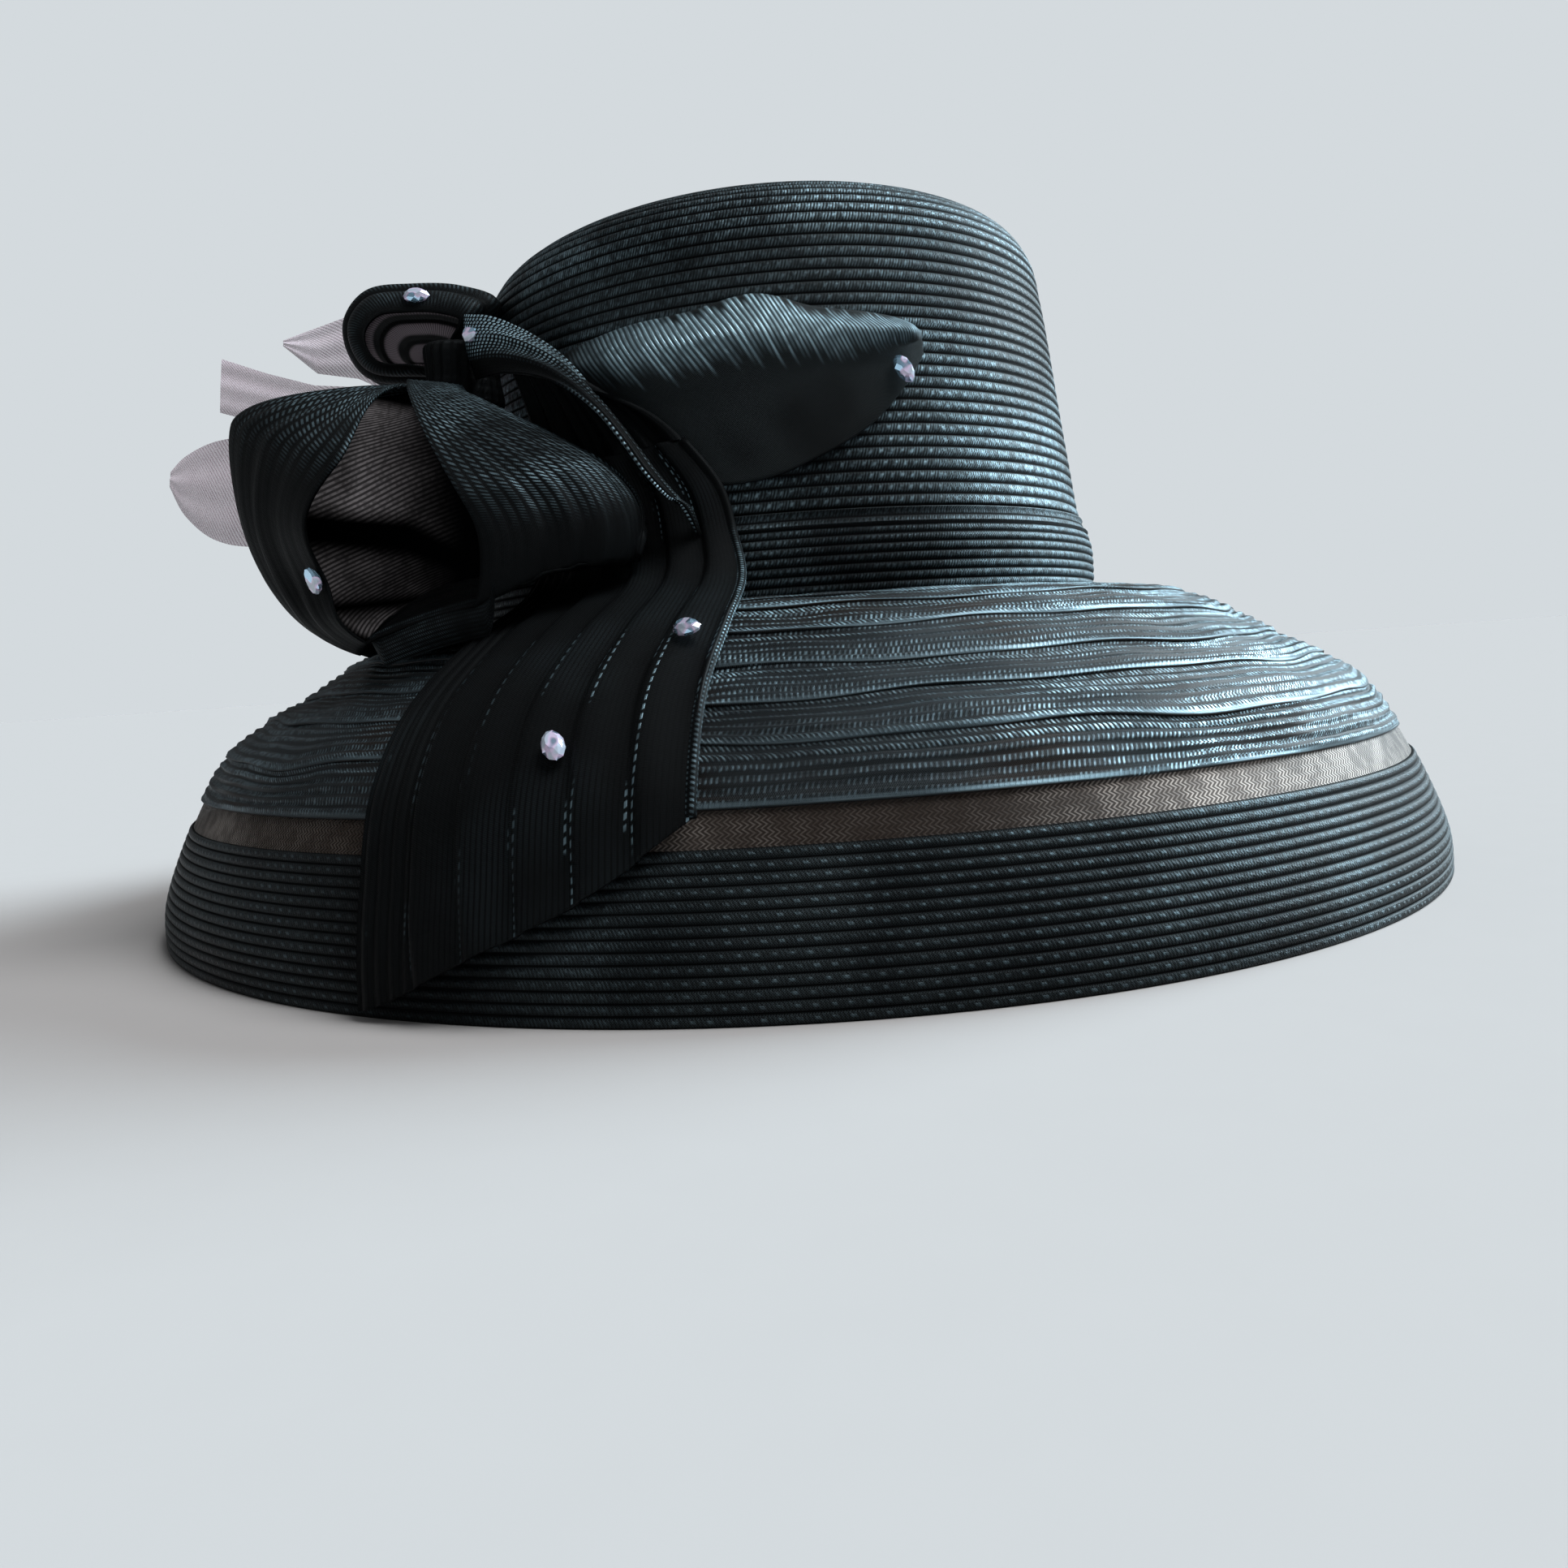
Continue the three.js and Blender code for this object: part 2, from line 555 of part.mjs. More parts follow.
// Sheer tips that stand out behind the bow: reach as a share of TIP_REACH, edges as shares of
// CROWN_HEIGHT above the foot of the crown.
const SHEER_TIPS = [
  { turn: 106, lean: -4, rows: [
    { out: 0, low: 0.6, high: 0.69 },
    { out: 0.21, low: 0.62, high: 0.8 },
    { out: 0.41, low: 0.69, high: 0.87 },
    { out: 0.54, low: 0.7, high: 0.82 },
    { out: 0.65, low: 0.765, high: 0.78 },
  ] },
  { turn: 104, lean: -2, rows: [
    { out: 0, low: 0.5, high: 0.58 },
    { out: 0.28, low: 0.52, high: 0.66 },
    { out: 0.55, low: 0.53, high: 0.67 },
    { out: 0.7, low: 0.57, high: 0.7 },
    { out: 0.84, low: 0.6, high: 0.735 },
  ] },
  { turn: 103, lean: 0, rows: [
    { out: 0, low: 0.35, high: 0.46 },
    { out: 0.4, low: 0.27, high: 0.5 },
    { out: 0.7, low: 0.26, high: 0.54 },
    { out: 0.85, low: 0.28, high: 0.535 },
    { out: 0.95, low: 0.345, high: 0.5 },
    { out: 1, low: 0.42, high: 0.46 },
  ] },
];

function sheerTipPlace({ turn, lean, rows }) {
  return (u, v) => {
    const share = mix(tableValue(rows, 'low', u), tableValue(rows, 'high', u), v);
    const out = tableValue(rows, 'out', u);
    return onCrown(turn + lean * u, share, CLOTH_GAP + out * TIP_REACH, true);
  };
}

add('bow_knot', knotSolid(), BOW_CLOTH);
add('bow_leaf', sheetSolid(leafPlace, 12, 5, CLOTH), BOW_CLOTH);
add('bow_tail', sheetSolid(tailPlace, 14, 2 * TAIL_PLEATS, CLOTH), BOW_CLOTH);
add('bow_loop_large', sheetSolid(largeLoopPlace, 2 * LARGE_LOOP_TABLE.length, 8, CLOTH), BOW_CLOTH);
add('bow_loop_front', sheetSolid(frontLoopPlace, 2 * FRONT_LOOP_TABLE.length, 3, CLOTH), BOW_CLOTH);
add('bow_loop_back', sheetSolid(backLoopPlace, 2 * BACK_LOOP_TABLE.length, 4, CLOTH), BOW_CLOTH);
SHEER_TIPS.forEach((tip, i) => {
  add(`sheer_tip_${i + 1}`, sheetSolid(sheerTipPlace(tip), 6, 2, SHEER_CLOTH), PALE_SHEER);
});

// Stones: flat-backed ovals seated on a piece of the bow at a place on its surface.
const STONE_SIDES = 10;
const STONE_RINGS = [
  { size: 0.88, rise: 0, turn: 0 },
  { size: 1, rise: 0.28, turn: 0 },
  { size: 0.84, rise: 0.68, turn: 0.5 },
  { size: 0.54, rise: 1, turn: 0 },
];

function stoneSolid(centre, normal, along) {
  const sideways = normal.clone().cross(along).normalize();
  const ahead = sideways.clone().cross(normal).normalize();
  const points = [];
  STONE_RINGS.forEach(({ size, rise, turn }) => {
    for (let i = 0; i < STONE_SIDES; i += 1) {
      const angle = 2 * Math.PI * (i + turn) / STONE_SIDES;
      points.push(centre.clone()
        .addScaledVector(ahead, Math.cos(angle) * size * STONE_LENGTH / 2)
        .addScaledVector(sideways, Math.sin(angle) * size * STONE_WIDTH / 2)
        .addScaledVector(normal, rise * STONE_HEIGHT));
    }
  });
  const triangles = [];
  const top = (STONE_RINGS.length - 1) * STONE_SIDES;
  for (let i = 0; i < STONE_SIDES; i += 1) {
    const next = (i + 1) % STONE_SIDES;
    for (let ring = 0; ring < STONE_RINGS.length - 1; ring += 1) {
      const low = ring * STONE_SIDES;
      const high = low + STONE_SIDES;
      const isAhead = STONE_RINGS[ring + 1].turn > STONE_RINGS[ring].turn;
      if (isAhead) triangles.push(low + i, low + next, high + i, low + next, high + next, high + i);
      else triangles.push(low + i, low + next, high + next, low + i, high + next, high + i);
    }
    if (i > 0 && next > 0) triangles.push(0, next, i, top, top + i, top + next);
  }
  return meshed(points, triangles);
}

// A stone on a surface: its back clears the highest point under it.
function seatedStone({ place, u, v, side, spin }) {
  const small = 1e-3;
  const centre = place(u, v);
  const alongU = place(u + small, v).sub(place(u - small, v));
  const alongV = place(u, v + small).sub(place(u, v - small));
  const normal = alongU.clone().cross(alongV).normalize().multiplyScalar(side);
  const along = alongU.normalize().applyAxisAngle(normal, spin * RADIANS);
  const spread = STONE_LENGTH / 2;
  const stepU = small * 2 * spread / place(u + small, v).distanceTo(place(u - small, v));
  const stepV = small * 2 * spread / alongV.length();
  let lift = 0;
  for (let i = -4; i <= 4; i += 1) {
    for (let j = -4; j <= 4; j += 1) {
      const point = place(clamp(u + stepU * i / 4), clamp(v + stepV * j / 4)).sub(centre);
      if (point.length() < spread * 1.1) lift = Math.max(lift, point.dot(normal));
    }
  }
  return stoneSolid(centre.addScaledVector(normal, lift + CLOTH / 2 + CLOTH_GAP), normal, along);
}

const STONES = [
  { place: leafPlace, u: 0.855, v: 0.25, side: 1, spin: 80 },
  { place: tailPlace, u: 0.655, v: 0.09, side: -1, spin: 60 },
  { place: tailPlace, u: 0.765, v: 0.385, side: -1, spin: 20 },
  { place: largeLoopPlace, u: 0.68, v: 0.97, side: 1, spin: 0 },
  { place: backLoopPlace, u: 0.3, v: 0.9, side: 1, spin: 0 },
  { place: frontLoopPlace, u: 0.045, v: 0.22, side: 1, spin: 60 },
];
STONES.forEach((stone, i) => add(`stone_${i + 1}`, seatedStone(stone), CLEAR_STONE));

export default hat;
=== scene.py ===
"""Looks of a wide-brimmed dress hat of black crinoline braid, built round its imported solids."""

import math

import bmesh
import bpy
import numpy as np
from bpy.props import FloatProperty, FloatVectorProperty, IntProperty, PointerProperty
from mathutils import Euler, Matrix, Vector


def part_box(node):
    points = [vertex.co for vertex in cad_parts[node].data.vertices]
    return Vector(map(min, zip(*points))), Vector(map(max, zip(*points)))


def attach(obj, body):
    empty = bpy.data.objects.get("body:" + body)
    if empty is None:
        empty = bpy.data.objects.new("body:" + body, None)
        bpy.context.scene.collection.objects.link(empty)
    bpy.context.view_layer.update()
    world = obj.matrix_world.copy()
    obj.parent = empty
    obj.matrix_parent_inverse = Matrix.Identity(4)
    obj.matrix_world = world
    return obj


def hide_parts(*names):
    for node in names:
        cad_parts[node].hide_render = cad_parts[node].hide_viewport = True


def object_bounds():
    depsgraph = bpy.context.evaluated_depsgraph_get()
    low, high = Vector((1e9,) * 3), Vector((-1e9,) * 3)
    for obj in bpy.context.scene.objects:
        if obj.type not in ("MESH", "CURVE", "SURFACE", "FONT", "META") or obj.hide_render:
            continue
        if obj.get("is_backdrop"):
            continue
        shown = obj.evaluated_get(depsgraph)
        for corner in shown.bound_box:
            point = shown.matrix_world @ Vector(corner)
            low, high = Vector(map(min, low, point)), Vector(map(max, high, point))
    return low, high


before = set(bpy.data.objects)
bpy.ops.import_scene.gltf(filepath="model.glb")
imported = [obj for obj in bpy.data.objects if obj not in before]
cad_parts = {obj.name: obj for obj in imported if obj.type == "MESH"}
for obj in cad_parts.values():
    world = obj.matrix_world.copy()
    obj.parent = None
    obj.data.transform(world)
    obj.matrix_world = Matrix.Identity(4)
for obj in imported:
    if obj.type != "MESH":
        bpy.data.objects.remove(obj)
CAD_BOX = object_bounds()

bl_info = {
    "name": "Crinoline Dress Hat",
    "version": (1, 0, 0),
    "blender": (4, 5, 0),
    "location": "3D View > Sidebar > Hat",
    "description": "Builds a wide-brimmed hat of black crinoline braid with a pleated bow",
    "category": "Object",
}

MM = 0.001
RIM_BOX, BAND_BOX, CROWN_BOX = (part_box(name) for name in ("brim_edge_band", "crown_band", "crown"))
ROW_STEPS = 6  # points across one sewn row
ROW_SINK = 0.3 * MM  # the grooves lie this far below the solids
CENTRE = 0.4 * MM  # rings closer to the axis than this close to a point
NET_PITCH = 0.8 * MM  # of the diagonal net in the wide braid and the bow
GRAIN_PITCH = 1.1 * MM  # of the slanting grain inside the loops
SEAM = 0.3 * MM  # left free where two braids meet
LAP = 1.2 * MM  # how far a wide braid reaches under the one above it
SLIDE = 2.1 * MM  # how far the laps of the wide braids wander
# The laps' waves: cycles round the hat, share of the whole, shift from layer to layer, first shift.
WAVES = ((4, 0.35, 2.1, 0), (9, 0.3, 3.3, 1), (15, 0.27, 1.3, 2), (26, 0.16, 2.7, 0))

# The outside of the brim, foot of the crown to rim: share of the reach, share of the brim's height.
BRIM_TABLE = [
    (0, 1), (0.154, 0.983), (0.288, 0.955), (0.418, 0.886), (0.54, 0.797), (0.676, 0.712),
    (0.796, 0.604), (0.876, 0.451), (0.944, 0.285), (0.992, 0.128), (1, 0),
]
# The outside of the crown, foot to top: share of the head radius, share of the crown's height.
CROWN_TABLE = [
    (1, 0), (0.998, 0.107), (0.966, 0.187), (0.946, 0.311), (0.922, 0.474), (0.9, 0.636),
    (0.883, 0.741), (0.864, 0.824), (0.808, 0.893), (0.685, 0.946), (0.504, 0.98), (0.269, 0.998),
    (0, 1),
]
# Leaf, knot to tip: turn as a share of the knot's turn, low and high edge as shares of the crown.
LEAF_TABLE = {
    "turn": (0.827, 0.712, 0.577, 0.442, 0.317, 0.212, 0.125, 0.053, 0.014),
    "low": (0.42, 0.34, 0.265, 0.245, 0.25, 0.295, 0.355, 0.44, 0.505),
    "high": (0.57, 0.595, 0.615, 0.62, 0.64, 0.605, 0.59, 0.575, 0.555),
}
# Tail, crown to rim: front and back side as shares of the knot's turn, then its places on crown and
# brim, each with how far it stands off.
TAIL_TABLE = {
    "front": (0.5, 0.404, 0.375, 0.361, 0.371, 0.385, 0.388, 0.388, 0.388, 0.388),
    "back": (0.827, 0.788, 0.769, 0.74, 0.716, 0.7, 0.679, 0.663, 0.655, 0.654),
}
TAIL_ON_CROWN = ((0.4, 0.15), (0.25, 0.15), (0.12, 0.25))
TAIL_ON_BRIM = ((0.11, 1), (0.3, 0.15), (0.5, 0), (0.67, 0), (0.82, 0), (0.91, 0), (0.985, 0))
# Front loop, knot to foot: its outer and inner edge, each a turn, a rise and a stand off the hat.
FRONT_LOOP_TABLE = {
    "outer": (0.947, 0.83, 0.692, 0.58, 0.488, 0.438, 0.428),
    "outer_rise": (0.7, 0.665, 0.566, 0.418, 0.264, 0.168, 0.115),
    "outer_stand": (1, 0.6, 0.36, 0.36, 0.36, 0.3, -0.12),
    "inner": (0.947, 0.8, 0.68, 0.58, 0.502, 0.456, 0.431),
    "inner_rise": (0.56, 0.53, 0.48, 0.39, 0.25, 0.162, 0.113),
    "inner_stand": (0.7, 0.9, 1, 1, 0.9, 0.6, -0.12),
}
# Middle lines of the two puffed loops, end to end, as shares of half the width and half the height.
LARGE_LOOP_TABLE = {
    "across": (0.27, 0.7, 1, 1.12, 1.03, 0.72, 0.29, -0.15, -0.51, -0.75, -0.85, -0.83, -0.56, -0.28),
    "up": (0.9, 0.5, 0.17, -0.16, -0.6, -0.92, -1, -0.87, -0.62, -0.22, 0.33, 0.87, 1, 0.98),
}
BACK_LOOP_TABLE = {
    "across": (0.5, 1.05, 0.6, 0, -0.55, -0.86, -0.85, -0.6, 0, 0.5),
    "up": (-0.1, 0.6, 1, 1.12, 1.08, 0.55, -0.15, -0.7, -0.85, -0.8),
}
# Sheer tips: the turn they stand at, how it leans, and rows of reach, low edge and high edge.
SHEER_TIPS = (
    (106, -4, {"out": (0, 0.21, 0.41, 0.54, 0.65), "low": (0.6, 0.62, 0.69, 0.7, 0.765),
               "high": (0.69, 0.8, 0.87, 0.82, 0.78)}),
    (104, -2, {"out": (0, 0.28, 0.55, 0.7, 0.84), "low": (0.5, 0.52, 0.53, 0.57, 0.6),
               "high": (0.58, 0.66, 0.67, 0.7, 0.735)}),
    (103, 0, {"out": (0, 0.4, 0.7, 0.85, 0.95, 1), "low": (0.35, 0.27, 0.26, 0.28, 0.345, 0.42),
              "high": (0.46, 0.5, 0.54, 0.535, 0.5, 0.46)}),
)
# Narrow braids: pitch and glow of the dots, glow of the ripple, half a dot's width, roughness.
BRAIDS = {
    "crown_braid": (2.5 * MM, 0.55, 0.75, 0.3, 0.42),
    "band_braid": (1.4 * MM, 0.26, 0.4, 0.3, 0.44),
    "edge_braid": (2.9 * MM, 0.36, 0.2, 0.2, 0.44),
}
# Cloths of the bow: pitch of the ribs, and pitch, slant and glow of the painted glints.
BOW_CLOTHS = {
    "large_loop_cloth": (1.9 * MM, 1.3 * MM, 0.9, 0.75),
    "back_loop_cloth": (6.5 * MM, 1.2 * MM, 0.5, 0.15),
    "lower_fold_cloth": (1.6 * MM, 1.3 * MM, 0.8, 0.1),
    "front_loop_cloth": (0.9 * MM, 1.2 * MM, 0.5, 1.0),
    "tail_gather_cloth": (1.6 * MM, 1.2 * MM, 0.6, 0.0),
    "tail_hem_cloth": (1.0 * MM, 1.0 * MM, 0.3, 0.75),
    "knot_cloth": (1.6 * MM, 1.2 * MM, 0.6, 0.0),
}
# Sheets: steps of the mesh, length and width of its map, flat width, how it is held, what it rests
# on, and the solid that it stands for.
SHEETS = {
    "bow_leaf_cloth": ((120, 48), (0.112, 0.037), 0.037, "stretched", ["crown_shell"], "bow_leaf"),
    "bow_tail_cloth": (
        (130, 132), (0.145, 0.066), 0.066, "draped",
        ["brim_braid_4", "brim_edge_rows", "crown_shell"], "bow_tail",
    ),
    "bow_tail_gather": (
        (40, 60), (0.03, 0.05), 0.045, "gathered", ["bow_knot_wrap", "crown_shell"], None
    ),
    "bow_loop_large_cloth": (
        (220, 110), (0.27, 0.075), 0.075, "gathered", ["bow_knot_wrap"], "bow_loop_large"
    ),
    "bow_loop_large_inside": (
        (90, 90), (0.1, 0.06), 0.06, "gathered", ["bow_loop_large_cloth"], None
    ),
    "bow_loop_back_cloth": (
        (140, 64), (0.11, 0.026), 0.026, "gathered", ["bow_knot_wrap"], "bow_loop_back"
    ),
    "bow_loop_back_inside": (
        (90, 48), (0.09, 0.015), 0.015, "gathered", ["bow_loop_back_cloth"], None
    ),
    "bow_loop_lower_fold": (
        (80, 16), (0.1, 0.015), 0.02, "gathered", ["bow_tail_cloth", "brim_braid_3"], None
    ),
    "bow_loop_front_cloth": (
        (140, 40), (0.095, 0.016), 0.016, "folded", ["bow_knot_wrap"], "bow_loop_front"
    ),
}
for number, (_, _, rows) in enumerate(SHEER_TIPS, 1):
    SHEETS[f"sheer_tip_{number}_cloth"] = (
        (48, 24), (rows["out"][-1] * 0.083, 0.018), 0.018, "stretched", ["crown_shell"],
        f"sheer_tip_{number}",
    )
# Lights: direction, strength and colour.
SUNS = {
    "window": ((0.85, 0.02, 0.42), 5.8, (0.72, 0.90, 1.0)),
    "skylight": ((0.38, -0.32, 0.86), 2.8, (0.93, 0.97, 1.0)),
}
SUN_SPREAD = 36
FILL = 0.24  # share of the backdrop's light that reaches the hat
CAMERA_PLACE = (-0.1593, -0.3417, 0.05805)
CAMERA_TURNS = (84.547251, 3.912273, -25.26316)  # degrees about X, Y and Z


def mix(a, b, share):
    return a + (b - a) * share


def clamp(value, low=0.0, high=1.0):
    return min(high, max(low, value))


def smooth(value):
    value = clamp(value)
    return value * value * (3 - 2 * value)


def curve_value(values, share):
    """A value between evenly spaced ones, on a smooth curve through them."""
    place = clamp(share) * (len(values) - 1)
    row = min(len(values) - 2, int(place))
    t = place - row
    near = [values[clamp(row + step, 0, len(values) - 1)] for step in (-1, 0, 1, 2)]
    slope_in, slope_out = (near[2] - near[0]) / 2, (near[3] - near[1]) / 2
    rise = near[2] - near[1]
    bend = 3 * rise - 2 * slope_in - slope_out + t * (slope_in + slope_out - 2 * rise)
    return near[1] + t * (slope_in + t * bend)


class Profile:
    """An outline from the foot of the crown, read by share of its length; lift goes outwards."""

    def __init__(self, points, side, samples=3000):
        shares = np.linspace(0, 1, samples)
        self.places = np.array([
            [curve_value([p[axis] for p in points], share) for axis in (0, 1)] for share in shares
        ])
        steps = np.hypot(*np.diff(self.places, axis=0).T)
        self.reached = np.concatenate([[0], np.cumsum(steps)])
        self.length = float(self.reached[-1])
        along = np.gradient(self.places, axis=0)
        along /= np.linalg.norm(along, axis=1)[:, None]
        self.outwards = np.stack([side * along[:, 1], -side * along[:, 0]], axis=1)
        self.side = side

    def point(self, share, lift=0.0):
        """(radius, height) at a share of the length."""
        place = clamp(share) * self.length
        return tuple(
            float(np.interp(place, self.reached, self.places[:, axis]))
            + lift * float(np.interp(place, self.reached, self.outwards[:, axis]))
            for axis in (0, 1)
        )

    def share_at_height(self, height):
        heights = self.places[:, 1][:: self.side]
        return float(np.interp(height, heights, self.reached[:: self.side])) / self.length


class HatForm:
    """Where the surface of the hat is, from its sizes. Turns are degrees from the front to the
    wearer's right, which is towards -X."""

    def __init__(self, sizes):
        self.sizes = sizes
        head, rim = sizes.head_radius, sizes.rim_radius
        self.foot = sizes.brim_height
        brim = [(mix(head, rim, out), self.foot * up) for out, up in BRIM_TABLE]
        crown = [(head * out, self.foot + sizes.crown_height * up) for out, up in CROWN_TABLE]
        self.brim, self.crown = Profile(brim, -1), Profile(crown, 1)
        self.band_share = self.crown.share_at_height(self.foot + sizes.band_height)
        self.edge_share = 1 - sizes.edge_width / self.brim.length
        self.sheer_share = self.edge_share - sizes.sheer_width / self.brim.length

    def reach(self, radius, turn):
        sizes = self.sizes
        share = clamp((radius - sizes.head_radius) / (sizes.rim_radius - sizes.head_radius))
        ratio = mix(sizes.head_oval, sizes.rim_oval, share)
        half_length = 2 * radius / (1 + ratio)
        angle = math.radians(turn)
        return half_length * ratio / math.hypot(math.sin(angle), math.cos(angle) * ratio)

    def at(self, radius, turn, height):
        distance = self.reach(radius, turn)
        return outwards(turn) * distance + Vector((0, 0, height))

    def crown_share(self, rise):
        return self.crown.share_at_height(self.foot + self.sizes.crown_height * rise)

    def on_crown(self, turn, rise, lift):
        radius, height = self.crown.point(self.crown_share(rise), lift)
        return self.at(radius, turn, height)

    def mean_radius(self, distance, turn):
        radius = distance
        for _ in range(5):
            radius *= distance / self.reach(radius, turn)
        return radius

    def clear_of_hat(self, point, crown, brim, crown_tail, brim_tail):
        """Moves a point of the bow out of the crown and up off the brim and the tail."""
        turn = math.degrees(math.atan2(-point.x, -point.y))
        over_tail = smooth((80 - turn) / 15)
        radius = self.mean_radius(math.hypot(point.x, point.y), turn)
        share = self.crown.share_at_height(max(point.z, self.foot + 0.1 * MM))
        radius = max(radius, self.crown.point(share)[0] + mix(crown, crown_tail, over_tail))
        brim_height = float(np.interp(radius, self.brim.places[:, 0], self.brim.places[:, 1]))
        return self.at(radius, turn, max(point.z, brim_height + mix(brim, brim_tail, over_tail)))


def outwards(turn):
    """Level direction away from the hat's axis at a turn."""
    return Vector((-math.sin(math.radians(turn)), -math.cos(math.radians(turn)), 0))


# Shader maths


def operation(kind, swapped=False):
    """A method that adds one Math node to a socket and what it is combined with."""

    def method(self, *others):
        values = (*others, self) if swapped else (self, *others)
        return self.shader.node("ShaderNodeMath", {"operation": kind}, dict(enumerate(values)))

    return method


class Wire:
    """A socket that can be added, multiplied and compared."""

    def __init__(self, shader, socket):
        self.shader, self.socket = shader, socket

    __add__ = __radd__ = operation("ADD")
    __mul__ = __rmul__ = operation("MULTIPLY")
    __sub__, __rsub__ = operation("SUBTRACT"), operation("SUBTRACT", swapped=True)
    __truediv__, __gt__ = operation("DIVIDE"), operation("GREATER_THAN")
    fraction, floor = operation("FRACT"), operation("FLOOR")
    size, sine = operation("ABSOLUTE"), operation("SINE")
    at_most, at_least = operation("MINIMUM"), operation("MAXIMUM")

    def ramp(self, low, high):
        """0 below low, 1 above high, smooth between; low may be above high."""
        settings = {"interpolation_type": "SMOOTHSTEP", "clamp": True}
        values = {"Value": self, "From Min": low, "From Max": high}
        return self.shader.node("ShaderNodeMapRange", settings, values)


class Nodes:
    """Adds nodes to a tree and links them."""

    def __init__(self, tree):
        self.tree = tree

    def node(self, kind, settings=None, values=None, output=0):
        made = self.tree.nodes.new(kind)
        for name, value in (settings or {}).items():
            setattr(made, name, value)
        for name, value in (values or {}).items():
            self.feed(made.inputs[name], value)
        return Wire(self, made.outputs[output])

    def feed(self, socket, value):
        if isinstance(value, Wire):
            self.tree.links.new(value.socket, socket)
        else:
            socket.default_value = value


class Shader(Nodes):
    """A node material whose surface is a Principled shader."""

    def __init__(self, name, **constants):
        self.colours = bpy.context.scene.hat_colours
        self.material = bpy.data.materials.new(name)
        self.material.use_nodes = True
        super().__init__(self.material.node_tree)
        self.surface = self.tree.nodes["Principled BSDF"]
        self.set(**constants)

    def set(self, **values):
        for name, value in values.items():
            self.feed(self.surface.inputs[name.replace("_", " ")], value)

    def parts(self, place):
        apart = self.tree.nodes.new("ShaderNodeSeparateXYZ")
        self.tree.links.new(place.socket, apart.inputs[0])
        return [Wire(self, output) for output in apart.outputs]

    def cloth_place(self):
        """Metres along the cloth and metres across it, from the piece's own map."""
        return self.parts(self.node("ShaderNodeUVMap", {"uv_map": "cloth"}))[:2]

    def object_place(self):
        return self.node("ShaderNodeTexCoord", output="Object")

    def placed(self, axis):
        """Distance along one axis of the piece: 0 is towards the wearer's left, 2 is up."""
        return self.parts(self.object_place())[axis]

    def noise(self, scale, detail=2.0):
        values = {"Vector": self.object_place(), "Scale": scale, "Detail": detail}
        return self.node("ShaderNodeTexNoise", {}, values, output="Fac")

    def blotches(self, scale, low, high, detail=1.0):
        """Noise made into patches: 0 where it is below low, 1 where it is above high."""
        return self.noise(scale, detail).ramp(low, high)

    def colour(self, share, first, second):
        made = self.tree.nodes.new("ShaderNodeMix")
        made.data_type = "RGBA"
        self.feed(made.inputs[0], share)
        for socket, value in ((made.inputs[6], first), (made.inputs[7], second)):
            self.feed(socket, value if isinstance(value, Wire) else (*value, 1))
        return Wire(self, made.outputs[2])

    def bump(self, height, distance, strength=1.0):
        values = {"Height": height, "Distance": distance, "Strength": strength}
        self.set(Normal=self.node("ShaderNodeBump", {}, values))


def off_middle(place):
    """Distance from the middle of each unit of a place: 0 in the middle, 0.5 at the ends."""
    return (place.fraction() - 0.5).size()


def dashes(along, across, pitch, length, slant=0.0, shift=0.0):
    """Rows of short stitches: 1 on a stitch, 0 between them."""
    place = off_middle((along + across * slant) / pitch + shift)
    return place.ramp(length / 2 + 0.08, length / 2 - 0.08)


def fine_net(along, across, pitch=NET_PITCH):
    """The diagonal net of the crinoline, from 0 in its holes to 1 on its threads."""
    turns = 2 * math.pi / pitch
    one = ((along + across) * turns).sine().size()
    other = ((along - across) * turns).sine().size()
    return one.at_least(other).ramp(0.62, 1.0)


def row_chance(cloth, row):
    """A number from 0 to 1 that differs from one row to the next."""
    return cloth.node("ShaderNodeTexWhiteNoise", {"noise_dimensions": "1D"}, {"W": row.floor()})


def braid_finish(name, row_pitch, shade=None):
    """Sewn braid: ridged rows of one pitch, with a line of bright dots on the back of each and a
    finer slanting ripple where the threads lie closer. shade gives painted shade: where the bright
    marks are dimmed."""
    dot_pitch, glow, ripple_glow, narrow, rough = BRAIDS[name]
    cloth = Shader(name, Specular_IOR_Level=0.04)
    along, across = cloth.cloth_place()
    row = across / row_pitch
    in_row = off_middle(row)
    back, groove = in_row.ramp(0.46, 0.24), in_row.ramp(0.34, 0.5)
    chance = row_chance(cloth, row)
    dots = dashes(along, across, dot_pitch, 0.34, 0.5, chance) * in_row.ramp(narrow, 0.06)
    ripple = dashes(along, across, 0.72 * MM, 0.5, 0.35, chance * 3) * back
    net = fine_net(along, across, 0.9 * MM) * (1 - groove)
    patch = cloth.blotches(26.0, 0.36, 0.64, 3.0)
    close = cloth.blotches(11.0, 0.42, 0.6)
    flecks = cloth.blotches(640.0, 0.36, 0.62) * 0.75 + 0.25
    bright = (dots * glow * (1 - close * 0.6)).at_least(ripple * (close * 0.7 + 0.3) * ripple_glow)
    bright = bright * flecks * (patch * 0.75 + 0.25)
    if shade:
        bright = bright * (1 - shade(cloth))
    colours = cloth.colours
    worn_tone_and_glow = cloth.colour(net * (patch * 0.7 + 0.3), colours.braid_dark, colours.braid_body)
    cloth.set(
        Base_Color=cloth.colour(bright, worn_tone_and_glow, colours.stitch),
        Metallic=(net * 0.75).at_least((dots + ripple * close).at_most(0.95)),
        Roughness=rough + groove * 0.3 - bright * 0.08 + patch * 0.08,
    )
    cloth.bump(dots * 0.7 + ripple * 0.35 + net * 0.25 + back * 0.5, 0.25 * MM, 0.8)
    return cloth.material


